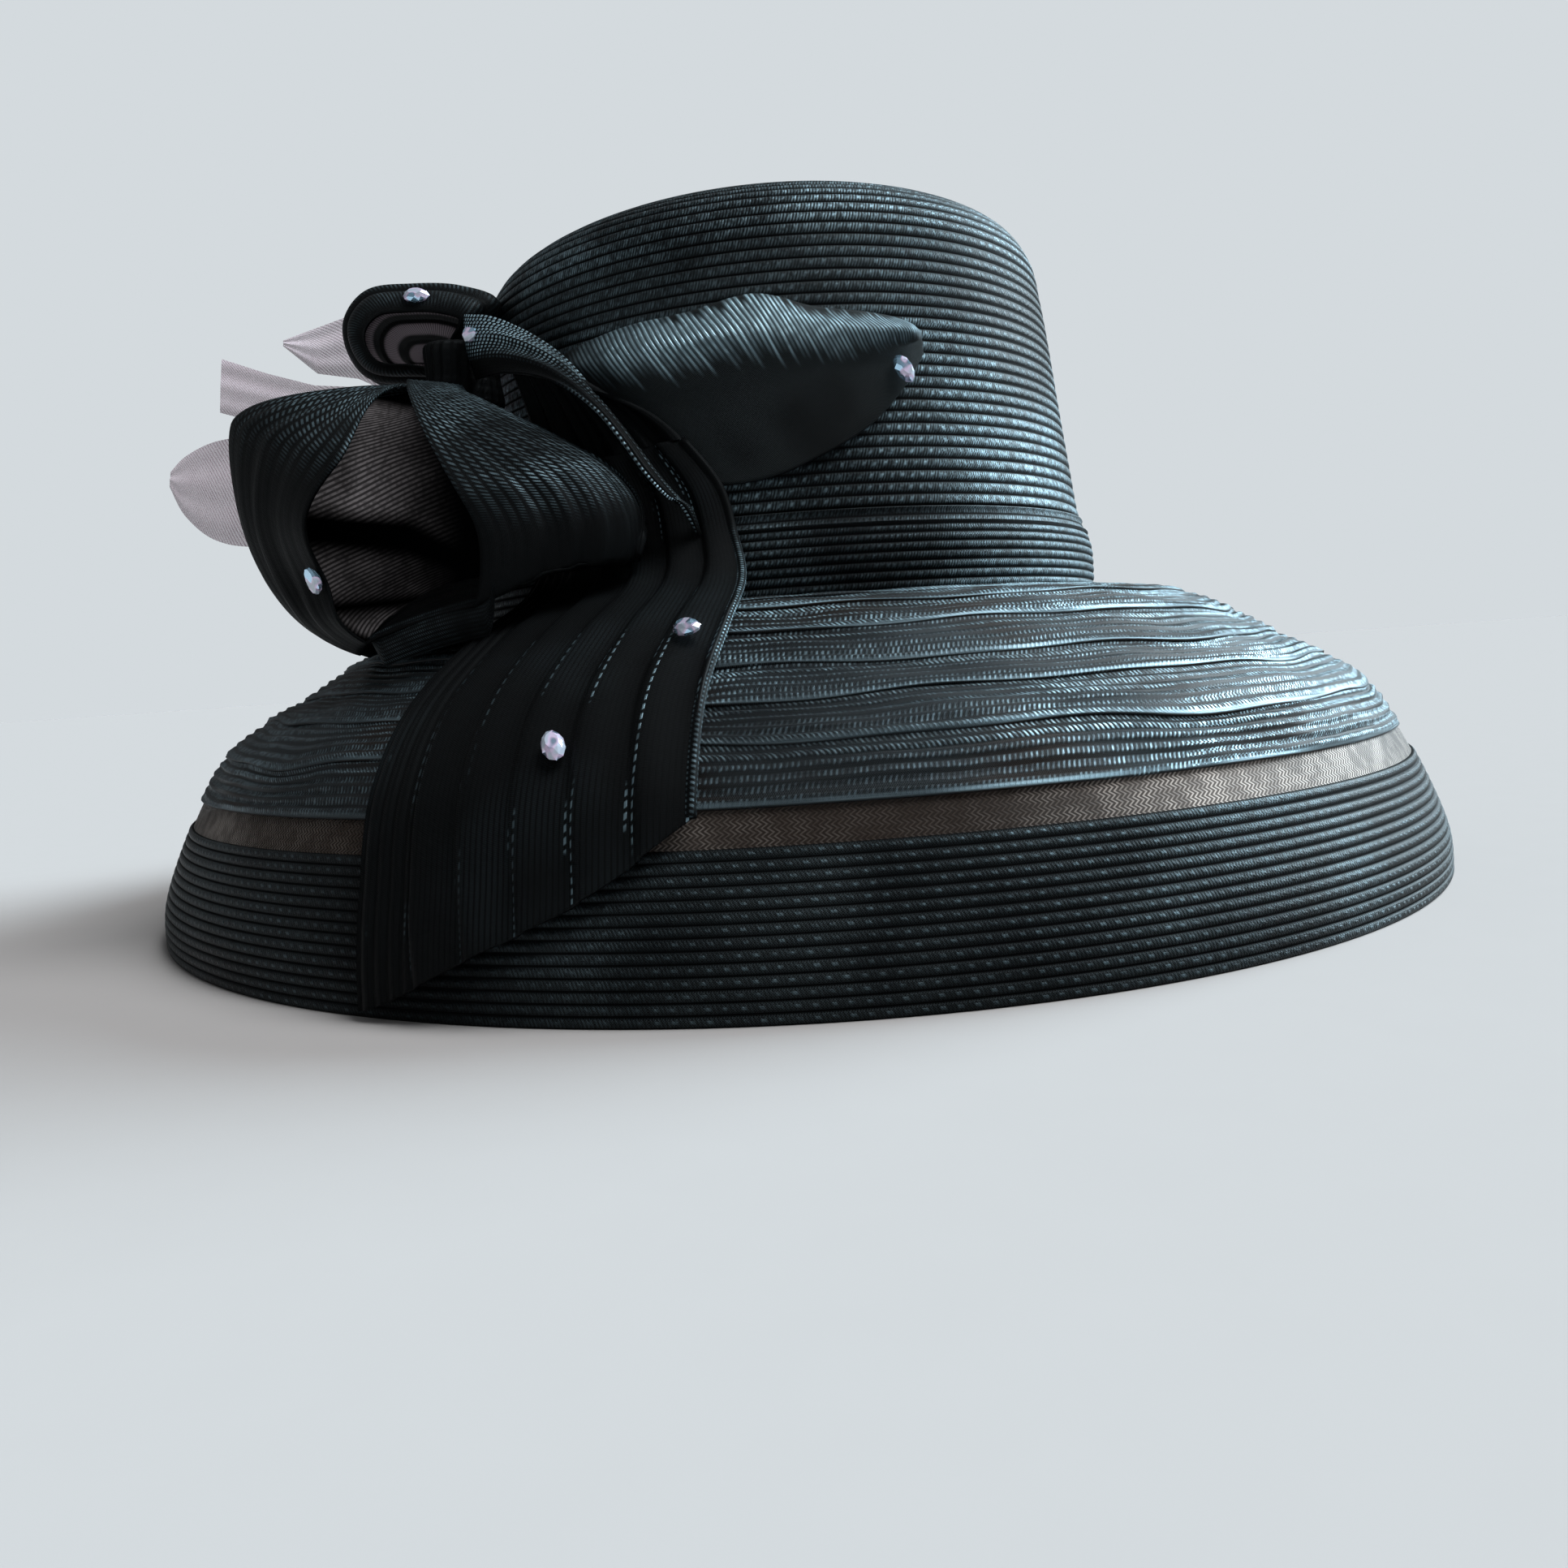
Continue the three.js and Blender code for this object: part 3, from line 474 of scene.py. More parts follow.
def wide_braid_finish(name, width):
    """Flat crinoline braid with lines of short slanting stitches and a corded edge, with painted
    light: a highlight line along the edge, and the marks brighter towards the wearer's left.
    """
    cloth = Shader(name, Specular_IOR_Level=0.05)
    along, across = cloth.cloth_place()
    share = (across / width).fraction()
    wave = (cloth.noise(34.0) - 0.5) * 2.2 * MM
    lines = (across + wave) / (width / 6.0)
    chance = row_chance(cloth, lines)
    in_line = off_middle(lines).ramp(0.4, 0.18)
    lean = (chance > 0.5) * 2 - 1
    slanted = dashes(along, across * lean, 1.0 * MM, 0.42, 0.5, chance * 7) * in_line
    flecks = cloth.blotches(560.0, 0.38, 0.62) * 0.8 + 0.2
    patch = cloth.blotches(13.0, 0.38, 0.62, 2.0)
    toned = cloth.blotches(24.0, 0.42, 0.6, 2.0)
    # Painted light: stitches and edge highlight are brighter towards the wearer's left, where the
    # light falls, dimmer towards the right and again near the far end on the left.
    left = cloth.placed(0)
    side = (left.ramp(-0.12, 0.0) * 0.6 + 0.4) * (1 - left.ramp(0.07, 0.14) * 0.65)
    bright = slanted * flecks * (chance * 1.1 + 0.8) * (patch * 0.8 + 0.2) * side
    # Painted highlight: a bright line along each braid's corded edge.
    edge = share.ramp(0.9, 0.94) * share.ramp(1.0, 0.97) * (toned * 0.7 + 0.3) * side
    net = fine_net(along, across)
    colours = cloth.colours
    body = cloth.colour(net, colours.braid_dark, colours.wide_body)
    worn_tone_and_glow = cloth.colour((1 - in_line * 0.6) * toned * 0.6, body, colours.sheer_body)
    cloth.set(
        Base_Color=cloth.colour(bright.at_least(edge * 0.5), worn_tone_and_glow, colours.stitch),
        Metallic=(net * 0.6).at_least(slanted * 0.9).at_least(edge * 0.8),
        Roughness=0.44 - bright * 0.1 - edge * 0.1 + patch * 0.06,
    )
    cloth.bump(slanted * 0.5 + net * 0.3 + in_line * 0.5, 0.22 * MM, 0.8)
    return cloth.material


def sheer_finish(name, body, thread, cover, row, pitch, glow, painted_light=None):
    """One see-through layer of crinoline: threads that slant one way and the other in turn. The last
    argument gives painted light: where the layer is painted paler, as if more light came through,
    from the piece's own place."""
    cloth = Shader(name, Roughness=0.55, Specular_IOR_Level=0.1)
    along, across = cloth.cloth_place()
    zigzag = off_middle(across / row) * row
    threads = off_middle((along + zigzag * 1.3) / pitch).ramp(0.3, 0.12)
    patch = cloth.blotches(13.0, 0.4, 0.62, 2.0) * 0.8 + 0.2
    flecks = cloth.blotches(260.0, 0.36, 0.62) * 0.7 + 0.3
    # Painted light: the patches, and the body with them, are painted paler where it says.
    if painted_light:
        patch = patch * painted_light(cloth)
        body = cloth.colour(patch * 0.3, body, thread)
    cloth.set(
        Base_Color=cloth.colour(threads * flecks * patch * glow, body, thread),
        Alpha=(threads * 0.3 + cover).at_most(1.0),
        Metallic=threads * 0.06,
    )
    cloth.bump(threads, 0.15 * MM, 0.6)
    return cloth.material


def bow_finish(name, lit=None):
    """Pleated crinoline of the bow: fine lengthwise ribs and rows of short marks, painted bright as
    glints. lit gives where these painted highlights lie, where light falls on the cloth, from the
    places along and across the cloth."""
    line_pitch, dash_pitch, slant, glow = BOW_CLOTHS[name]
    cloth = Shader(name, Specular_IOR_Level=0.02)
    along, across = cloth.cloth_place()
    line = across / line_pitch
    in_line = off_middle(line).ramp(0.42, 0.15)
    patch = cloth.blotches(34.0, 0.4, 0.62, 2.0)
    marks = dashes(along, across, dash_pitch, 0.45, slant, row_chance(cloth, line) * 0.4) * in_line
    where = (patch * 0.75 + 0.25) * (cloth.blotches(330.0, 0.38, 0.6) * 0.6 + 0.4)
    if lit:
        where = where * lit(along, across)
    # Painted highlights: the marks are painted bright in patches, and only where lit allows.
    glint = marks * where
    net = fine_net(along, across)
    body = cloth.colour(net, cloth.colours.bow_dark, cloth.colours.bow_body)
    cloth.set(
        Base_Color=cloth.colour(glint * glow, body, cloth.colours.stitch),
        Metallic=(net * 0.7).at_least(marks * 0.4),
        Roughness=0.46 - glint * 0.1 + patch * 0.06,
    )
    cloth.bump(glint * 0.5 + net * 0.25 + in_line * 0.3, 0.2 * MM, 0.8)
    return cloth.material


# Meshes


def add_object(name, data):
    made = bpy.data.objects.new(name, data)
    bpy.context.scene.collection.objects.link(made)
    return made


def mesh_data(name, mesh, material):
    """Turns a bmesh into mesh data with one material."""
    data = bpy.data.meshes.new(name)
    mesh.to_mesh(data)
    mesh.free()
    data.materials.append(material)
    return data


def finish_piece(name, mesh, material, solid=None):
    """Makes an object of a bmesh, lets it ride on the hat and stand for a solid."""
    data = mesh_data(name, mesh, material)
    for polygon in data.polygons:
        polygon.use_smooth = True
    piece = add_object(name, data)
    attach(piece, "root")
    if solid:
        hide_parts(solid)
    return piece


def swept_mesh(around, section, place):
    """A closed shell round the hat: section holds each ring's distance across the cloth, and
    place(turn, ring) is a point of it."""
    mesh = bmesh.new()
    rings = len(section)
    bmesh.ops.create_grid(mesh, x_segments=around, y_segments=rings - 1, size=1)
    layer = mesh.loops.layers.uv.new("cloth")
    cell = {}
    for vert in mesh.verts:
        column = round((vert.co.x + 1) / 2 * around)
        ring = round((vert.co.y + 1) / 2 * (rings - 1))
        cell[vert] = (column, ring)
        vert.co = place(360 * (column % around) / around, ring)
    for face in mesh.faces:
        radius = sum(math.hypot(v.co.x, v.co.y) for v in face.verts) / 4
        for loop in face.loops:
            column, ring = cell[loop.vert]
            loop[layer].uv = (2 * math.pi * radius * column / around, section[ring])
    bmesh.ops.remove_doubles(mesh, verts=mesh.verts, dist=1e-6)
    bmesh.ops.dissolve_degenerate(mesh, edges=mesh.edges, dist=1e-7)
    bmesh.ops.recalc_face_normals(mesh, faces=mesh.faces)
    return mesh


def ridge(share, height):
    """Height of a sewn row across its width: a round back and a narrow groove."""
    return height * (1 - abs(2 * share - 1) ** 3)


def sewn_rows(rows, pitch, height):
    """Distance across and lift of each point over a run of sewn rows."""
    return [
        (pitch * step / ROW_STEPS, ridge(step / ROW_STEPS % 1, height) - ROW_SINK)
        for step in range(rows * ROW_STEPS + 1)
    ]


def sewn_shell(form, profile, start, outside, inside_steps, around, plain_inside=False):
    """A closed shell round the hat. outside holds each ring's distance from a start on the profile
    and its lift, and the inside runs back a wall below it, plain or with the same rows."""
    steps = range(inside_steps + 1)
    inside = [(outside[-1][0] * (1 - step / inside_steps), -form.sizes.wall) for step in steps]
    section = outside + inside + outside[:1]
    places = []
    for across, lift in section:
        radius, height = profile.point(start + across / profile.length, lift)
        places.append((radius if radius > CENTRE else 0.0, max(height, 0.0)))
    mapped = [across for across, _ in section]
    if plain_inside:
        mapped[len(outside):] = [0.0] * (len(inside) + 1)

    def place(turn, ring):
        radius, height = places[ring]
        return form.at(radius, turn, height)

    return swept_mesh(around, mapped, place)


def sheet_mesh(place, steps, length, width, relief=None):
    """An open sheet of cloth: place(u, v) is a point of it, and relief(u, v) its height off that."""
    mesh = bmesh.new()
    bmesh.ops.create_grid(mesh, x_segments=steps[0], y_segments=steps[1], size=1)
    layer = mesh.loops.layers.uv.new("cloth")
    shares = {vert: ((vert.co.x + 1) / 2, (vert.co.y + 1) / 2) for vert in mesh.verts}
    for vert, (u, v) in shares.items():
        vert.co = place(u, v)
    if relief:
        mesh.normal_update()
        for vert, (u, v) in shares.items():
            vert.co += vert.normal * relief(u, v)
    for face in mesh.faces:
        for loop in face.loops:
            u, v = shares[loop.vert]
            loop[layer].uv = (u * length, v * width)
    return mesh


def close_seams(mesh):
    bmesh.ops.remove_doubles(mesh, verts=mesh.verts, dist=1e-6)


def cloth_sheet(name, place, relief, material, thickness=0.0):
    """A sheet of cloth from its row in the table: its steps, its map and the solid that it stands
    for.
    """
    steps, (length, width), flat_width, held, rests_on, solid = SHEETS[name]
    mesh = sheet_mesh(place, steps, length, width, relief)
    piece = finish_piece(name, mesh, material, solid)
    if thickness:
        wall = piece.modifiers.new("cloth", "SOLIDIFY")
        wall.thickness, wall.offset = thickness, 0.0


# Sizes and colours


def metres(name, description, default):
    return FloatProperty(
        name=name, description=description, default=default, min=0.0, unit="LENGTH", precision=4
    )


def tint(name, description, default):
    return FloatVectorProperty(
        name=name, description=description, default=default, subtype="COLOR", size=3, min=0, max=1
    )


def ratio(name, description, default):
    return FloatProperty(name=name, description=description, default=default, min=0.0)


def extents(name, what, default):
    return FloatVectorProperty(
        name=name, description=f"Width, height and depth of {what}",
        default=default, size=3, min=0.0, unit="LENGTH", precision=4,
    )


class HatSizes(bpy.types.PropertyGroup):
    """Sizes of the crown and the brim."""

    rim_radius: metres(
        "Rim radius", "Mean of half the length and half the width", sum(RIM_BOX[1][:2]) / 2
    )
    rim_oval: ratio("Rim oval", "Width over length at the rim", 0.945)
    head_radius: metres("Head radius", "Mean radius at the foot of the crown", 0.096)
    head_oval: ratio("Head oval", "Width over length of the crown", 0.88)
    brim_height: metres("Brim height", "Rim to the foot of the crown", BAND_BOX[0].z)
    crown_height: metres("Crown height", "From its foot to its top", CROWN_BOX[1].z - BAND_BOX[0].z)
    band_height: metres("Band height", "Height of the band round the crown", 0.019)
    wide_braids: IntProperty(name="Wide braids", description="Their number", default=7, min=2)
    sheer_width: metres("Sheer width", "Width of the see-through braid", 0.0067)
    edge_width: metres("Edge width", "Width of the outer band of narrow braid", 0.030)
    wall: metres("Wall", "Thickness of the sewn braid", 0.0014)
    crown_row: metres("Crown row", "Pitch of the crown's rows", 0.0028)
    edge_row: metres("Edge row", "Pitch of the outer band's rows", 0.00207)
    band_row: metres("Band row", "Pitch of the band's rows", 0.0022)


class BowSizes(bpy.types.PropertyGroup):
    """Sizes of the bow."""

    knot_turn: ratio("Knot turn", "Degrees from the front to the knot", 78.0)
    knot_level: ratio("Knot level", "Share of the crown's height at the knot", 0.589)
    large_loop: extents("Large loop", "the puffed loop", (0.118, 0.074, 0.050))
    back_loop: extents("Back loop", "the ribbed loop behind", (0.042, 0.024, 0.024))
    tip_reach: metres("Tip reach", "Reach of the longest sheer tip from the crown", 0.083)
    cloth: metres("Cloth", "Thickness of the bow's cloth", 0.0006)


class HatColours(bpy.types.PropertyGroup):
    """Colours of the braid, the cloth and the stones."""

    braid_dark: tint("Braid dark", "Between the threads", (0.0015, 0.0017, 0.002))
    braid_body: tint("Braid", "Threads of the narrow braid", (0.030, 0.036, 0.038))
    wide_body: tint("Wide braid", "Threads of the wide braid", (0.030, 0.035, 0.038))
    # Also the colour of the painted glints, sheen and edge highlights.
    stitch: tint("Stitch", "Bright stitches", (0.40, 0.57, 0.65))
    sheer_body: tint("Sheer", "Single layer of the brim", (0.020, 0.012, 0.008))
    sheer_thread: tint("Sheer thread", "Threads of that layer", (0.62, 0.55, 0.50))
    bow_dark: tint("Bow dark", "Folds of the bow", (0.001, 0.0012, 0.0014))
    bow_body: tint("Bow", "Cloth of the bow", (0.009, 0.010, 0.0105))
    tip_body: tint("Tips", "Cloth of the sheer tips", (0.58, 0.47, 0.52))
    # Also the colour of the painted light inside the large loop.
    tip_thread: tint("Tip thread", "Threads of the sheer tips", (0.86, 0.77, 0.81))
    stone: tint("Stone", "Clear stones", (0.50, 0.56, 0.66))
    floor: tint("Floor", "Pale floor", (0.4493, 0.4241, 0.4137))
    backdrop: tint("Backdrop", "Light of the studio behind", (0.658, 0.701, 0.730))


def form_of(context):
    return HatForm(context.scene.hat_sizes)


# Pieces of the hat


class HAT_OT_crown(bpy.types.Operator):
    """Build the crown of narrow braid, sewn in rows up to the middle of its top"""

    bl_idname = "hat.crown"
    bl_label = "Crown"

    def execute(self, context):
        form = form_of(context)
        start = form.band_share + SEAM / form.crown.length
        length = (1 - start) * form.crown.length
        rows = round(length / form.sizes.crown_row)
        outside = sewn_rows(rows, length / rows, 0.42 * MM)
        mesh = sewn_shell(form, form.crown, start, outside, 14, 168, plain_inside=True)

        # Painted shade: the bright marks are dimmed in a band round the crown at these heights, with
        # noisy edges.
        def painted_shade_band(cloth):
            height = cloth.placed(2) + (cloth.noise(16.0, 1.0) - 0.5) * 22 * MM
            return height.ramp(0.134, 0.143) * height.ramp(0.162, 0.153) * 0.7

        finish = braid_finish("crown_braid", length / rows, painted_shade_band)
        finish_piece("crown_shell", mesh, finish, "crown")
        return {"FINISHED"}


class HAT_OT_band(bpy.types.Operator):
    """Build the band round the foot of the crown: one flat row and seven narrow ones"""

    bl_idname = "hat.band"
    bl_label = "Crown band"

    def execute(self, context):
        form = form_of(context)
        length = form.band_share * form.crown.length
        flat = 2 * form.sizes.band_row
        rows = round((length - flat) / form.sizes.band_row)
        pitch = (length - flat) / rows
        outside = sewn_rows(rows, pitch, 0.5 * MM)
        for share in (0.06, 0.12, 0.2, 0.5, 0.8, 0.88, 0.94, 1):
            corded = 0.6 * MM if share in (0.06, 0.12, 0.88, 0.94) else 0.1 * MM
            outside.append((length - flat + flat * share, corded))
        mesh = sewn_shell(form, form.crown, 0, outside, 6, 168)
        finish = braid_finish("band_braid", pitch)
        finish_piece("crown_band_rows", mesh, finish, "crown_band")
        return {"FINISHED"}


class HAT_OT_brim(bpy.types.Operator):
    """Build the wide braids of the brim, each lapped over the next with a wavy outer edge"""

    bl_idname = "hat.brim"
    bl_label = "Brim"

    def execute(self, context):
        form = form_of(context)
        count = form.sizes.wide_braids
        width = form.sheer_share * form.brim.length / count
        finish = wide_braid_finish("wide_braid", width)
        for braid in range(count):
            inner = width * braid - (LAP if braid else 0) + SEAM
            outer = width * (braid + 1) - (SEAM if braid == count - 1 else 0)
            mesh = self.braid_mesh(form, braid, inner, outer, width)
            solid = None if braid else "brim_top"
            finish_piece(f"brim_braid_{braid + 1}", mesh, finish, solid)
        return {"FINISHED"}

    @staticmethod
    def wave(turn, layer):
        """A slow, uneven wave round the hat, about -1 to 1, that differs from layer to layer."""
        angle, seed = math.radians(turn), 1.7 * layer
        return sum(
            size * math.sin(cycles * angle + shift * seed + first)
            for cycles, size, shift, first in WAVES
        )

    def braid_mesh(self, form, braid, inner, outer, width):
        cords, steps, under_steps, around = 5, 30, 6, 300
        last = braid == form.sizes.wide_braids - 1
        section = [(i / steps, 1) for i in range(steps + 1)]
        section += [(1 - i / under_steps, 0) for i in range(under_steps + 1)]
        section.append(section[0])

        def place(turn, ring):
            share, side = section[ring]
            slide = 0.0 if last else SLIDE * self.wave(turn, braid + 1) * share
            if braid:
                slide += SLIDE * self.wave(turn, braid) * (1 - share)
            shift, swell = 0.28 * self.wave(turn, braid + 3), 0.24 + 0.12 * self.wave(turn, braid + 9)
            ripple = swell * math.sin(2 * math.pi * (cords * share + shift))
            arch = math.sin(math.pi * share)
            puff = 0.22 * (1 + self.wave(turn, braid + 5)) * arch
            pucker = 0.16 * math.sin(math.radians(turn) * 37 + 3 * braid + 5 * share) * arch
            cord = 0.3 * smooth((share - 0.84) / 0.08) * smooth((1.02 - share) / 0.06)
            under = 0 if side else mix(0.35, 0.6, share)
            lift = mix(-0.35, 0.2, share) + ripple + puff + pucker + cord - under
            across = mix(inner, outer, share) + slide
            radius, height = form.brim.point(across / form.brim.length, lift * MM)
            return form.at(radius, turn, height)

        return swept_mesh(around, [width * (braid + share) for share, _ in section], place)


class HAT_OT_sheer_strip(bpy.types.Operator):
    """Build the single see-through braid between the wide braids and the outer band"""

    bl_idname = "hat.sheer_strip"
    bl_label = "See-through braid"

    def execute(self, context):
        colours = context.scene.hat_colours
        form = form_of(context)
        seam = 0.4 * MM / form.brim.length
        first, last = form.sheer_share - seam, form.edge_share + seam
        length = 2 * math.pi * form.brim.point(first)[0]

        def place(u, v):
            radius, height = form.brim.point(mix(first, last, v), -0.5 * MM)
            return form.at(radius, 360 * (u % 1), height)

        # Painted light: the strip is painted paler towards the wearer's left, where the light falls,
        # in patches.
        def painted_light(cloth):
            left = cloth.placed(0).ramp(-0.05, -0.015)
            return (cloth.blotches(22.0, 0.3, 0.6) * 0.6 + 0.4) * (left * 0.65 + 0.35)

        mesh = sheet_mesh(place, (240, 4), length, (last - first) * form.brim.length)
        close_seams(mesh)
        finish = sheer_finish(
            "sheer_braid", colours.sheer_body, colours.sheer_thread, 0.76, 1.5 * MM, 1.05 * MM,
            1.3, painted_light,
        )
        finish_piece("brim_sheer_braid", mesh, finish, "brim_sheer_strip")
        return {"FINISHED"}


class HAT_OT_edge_band(bpy.types.Operator):
    """Build the outer band of the brim, of narrow braid sewn in close rows down to the rim"""

    bl_idname = "hat.edge_band"
    bl_label = "Outer band"

    def execute(self, context):
        form = form_of(context)
        width = form.sizes.edge_width
        rows = round(width / form.sizes.edge_row)
        outside = sewn_rows(rows, width / rows, 0.5 * MM)
        mesh = sewn_shell(form, form.brim, form.edge_share, outside, 8, 240)
        # Painted shade: the bright marks are dimmed towards the wearer's right.
        finish = braid_finish(
            "edge_braid", width / rows, lambda cloth: cloth.placed(0).ramp(0.04, -0.08) * 0.6
        )
        finish_piece("brim_edge_rows", mesh, finish, "brim_edge_band")
        return {"FINISHED"}


# Pieces of the bow


class BowForm:
    """Where the pieces of the bow are, on the hat's form."""

    def __init__(self, context):
        hat = self.hat = form_of(context)
        sizes = self.sizes = context.scene.bow_sizes
        self.tail_lift = 3.65 * MM
        self.out = outwards(sizes.knot_turn)
        self.forward = Vector((-self.out.y, self.out.x, 0))
        self.knot_height = hat.foot + sizes.knot_level * hat.sizes.crown_height
        foot = hat.crown.point(hat.crown.share_at_height(self.knot_height - 9 * MM))[0]
        seat = hat.at(foot, sizes.knot_turn, self.knot_height)
        self.knot_middle = seat + self.out * 11.3 * MM
        on_crown = [
            hat.crown.point(hat.crown_share(rise), self.tail_lift + stand * 3 * MM)
            for rise, stand in TAIL_ON_CROWN
        ]
        on_brim = [
            hat.brim.point(share, self.tail_lift + (stand * 3 - 1.2) * MM)
            for share, stand in TAIL_ON_BRIM
        ]
        self.tail_radii, self.tail_heights = zip(*on_crown, *on_brim)

    def leaf(self, u, v):
        turn = self.sizes.knot_turn * curve_value(LEAF_TABLE["turn"], u)
        rise = mix(curve_value(LEAF_TABLE["low"], u), curve_value(LEAF_TABLE["high"], u), v)
        return self.hat.on_crown(turn, rise, 1.1 * MM)

    def tail(self, u, v):
        share = mix(0.07, 1, u) * mix(0.7, 1, v)
        front, back = (curve_value(TAIL_TABLE[side], share) for side in ("front", "back"))
        radius, height = curve_value(self.tail_radii, share), curve_value(self.tail_heights, share)
        return self.hat.at(radius, self.sizes.knot_turn * mix(front, back, v), height)

    def front_loop(self, u, v):
        value = {column: curve_value(row, u) for column, row in FRONT_LOOP_TABLE.items()}
        turn = self.sizes.knot_turn * mix(value["outer"], value["inner"], v)
        stand = mix(value["outer_stand"], value["inner_stand"], v) * 12 * MM
        bulge = math.sin(math.pi * v) * 1.2 * MM
        rise = mix(value["outer_rise"], value["inner_rise"], v)
        return self.hat.on_crown(turn, rise, self.tail_lift + stand + bulge)

    def knot_end(self, side, rise, out):
        return (
            self.knot_middle + self.forward * side * 8.4 * MM + self.out * out * 11 * MM
            + Vector((0, 0, rise * 9 * MM))
        )

    def ribbon_loop(
        self, table, centre, facing, sizes, near, far, gathered, start, end, clear, pulls=()
    ):
        """A ribbon bent into a puffed ring, gathered at the knot. near and far give each edge as
        shares and shifts of the middle line, and pulls say where the near edge is drawn aside."""
        axis = outwards(facing)
        across = Vector((-axis.y, axis.x, 0))
        width, height, depth = sizes
        gather_share, gather_width = gathered

        def place(u, v):
            side = 2 * v - 1
            share_across, shift_across, share_up, shift_up = near if side > 0 else far
            drawn = side * side
            middle_across, middle_up = curve_value(table["across"], u), curve_value(table["up"], u)
            drawn_across = mix(middle_across, shift_across + share_across * middle_across, drawn)
            drawn_up = mix(middle_up, shift_up + share_up * middle_up, drawn)
            ring = (
                centre + across * (width / 2 * drawn_across) + axis * (side * depth / 2)
                + Vector((0, 0, height / 2 * drawn_up))
            )
            for where, spread, (aside, ahead, up) in pulls if side > 0 else ():
                pull = drawn * math.exp(-(((u - where) / spread) ** 2)) * MM
                ring += (across * aside + axis * ahead + Vector((0, 0, up))) * pull
            near_end = min(u, 1 - u) / gather_share
            tied = (start if u < 0.5 else end) + self.out * (side * gather_width / 2)
            point = tied.lerp(ring, smooth(near_end))
            return point.lerp(self.hat.clear_of_hat(point, *clear), smooth(3 * near_end))

        return place

    @staticmethod
    def closing(loop, side, first, last, sag):
        """Cloth that closes one side of a loop: strips from its upper to its lower half, which
        run together at the knot and at the far end, and hang back by sag."""

        def place(u, v):
            reach = mix(first, last, u) / 2
            upper, lower = loop(1 - reach, side), loop(reach, side)
            hang = math.sin(math.pi * v) * math.sin(math.pi * min(1.0, u * 1.05))
            return upper.lerp(lower, v) + sag * hang

        return place

    @staticmethod
    def nested(loop, side, middle):
        """Cloth that closes one side of a loop with arcs inside each other, round a middle."""
        return lambda u, v: loop(mix(0.02, 0.98, u), side).lerp(middle, 0.97 * v)

    def lower_fold(self, u, v):
        """Cloth that hangs from the lower rim of the large loop and lies on the brim and the tail."""
        top = self.large_loop()(mix(0.27, 0.54, u), 0.97)
        clear = (5 * MM, 1.2 * MM, 4 * MM, 4 * MM)
        rest = self.hat.clear_of_hat(Vector((top.x, top.y, 0)), *clear)
        belly = 2.5 * MM * math.sin(math.pi * v) * math.sin(math.pi * u)
        deep = mix(0.04, 1, smooth(u / 0.2) * smooth((1 - u) / 0.12))
        return (top + Vector((0, 0, 1 * MM))).lerp(rest, v * deep) + outwards(49) * belly

    def tail_gather(self, u, v):
        """The top of the tail, drawn up from the crown's side to the knot."""
        foot = self.tail(0.0, v)
        rising = foot * 2 - self.tail(0.09, v)
        turn = mix(0.62, 0.9, v) * self.sizes.knot_turn
        target = self.front_loop(mix(0.42, 0.12, v), mix(0.6, 0.8, v)) + outwards(turn) * (-3.5 * MM)
        return foot.lerp(rising, u).lerp(rising.lerp(target, u), u)

    def large_loop(self):
        hat = self.hat
        return self.ribbon_loop(
            LARGE_LOOP_TABLE,
            hat.at(hat.sizes.head_radius + 26 * MM, 74, self.knot_height - 38.5 * MM),
            49,
            self.sizes.large_loop,
            (0.43, 0.2, 0.72, -0.16),
            (0.6, 0.03, 0.6, -0.1),
            (0.16, 14 * MM),
            self.knot_end(0.75, -0.35, 0.95),
            self.knot_end(-0.35, -0.25, 0.95),
            (5 * MM, 2 * MM, 12.5 * MM, 11.5 * MM),
            ((0.86, 0.075, (13, 0, -6.5)), (0.68, 0.05, (-1, -5, 0))),
        )

    def back_loop(self):
        hat = self.hat
        return self.ribbon_loop(
            BACK_LOOP_TABLE,
            hat.at(hat.sizes.head_radius + 9 * MM, 90, self.knot_height + 14 * MM),
            28,
            self.sizes.back_loop,
            (0.62, 0.05, 0.55, -0.25),
            (0.7, 0, 0.7, 0),
            (0.14, 10 * MM),
            self.knot_end(-1, 0.8, -0.3),
            self.knot_end(-1, 0.3, -0.3),
            (1.2 * MM, 2 * MM, 4 * MM, 2 * MM),
        )

    def sheer_tip(self, turn, lean, rows, straight):
        def place(u, v):
            place_in = u * (len(rows["out"]) - 1)

            def read(values):
                if straight:
                    return float(np.interp(place_in, range(len(values)), values))
                return curve_value(values, u)

            rise = read([mix(*pair, v) for pair in zip(rows["low"], rows["high"])])
            radius, height = self.hat.crown.point(self.hat.crown_share(rise))
            facing = turn + lean * u
            reach = 0.45 * MM + read(rows["out"]) * self.sizes.tip_reach
            return self.hat.at(radius, facing, height) + outwards(facing) * reach

        return place


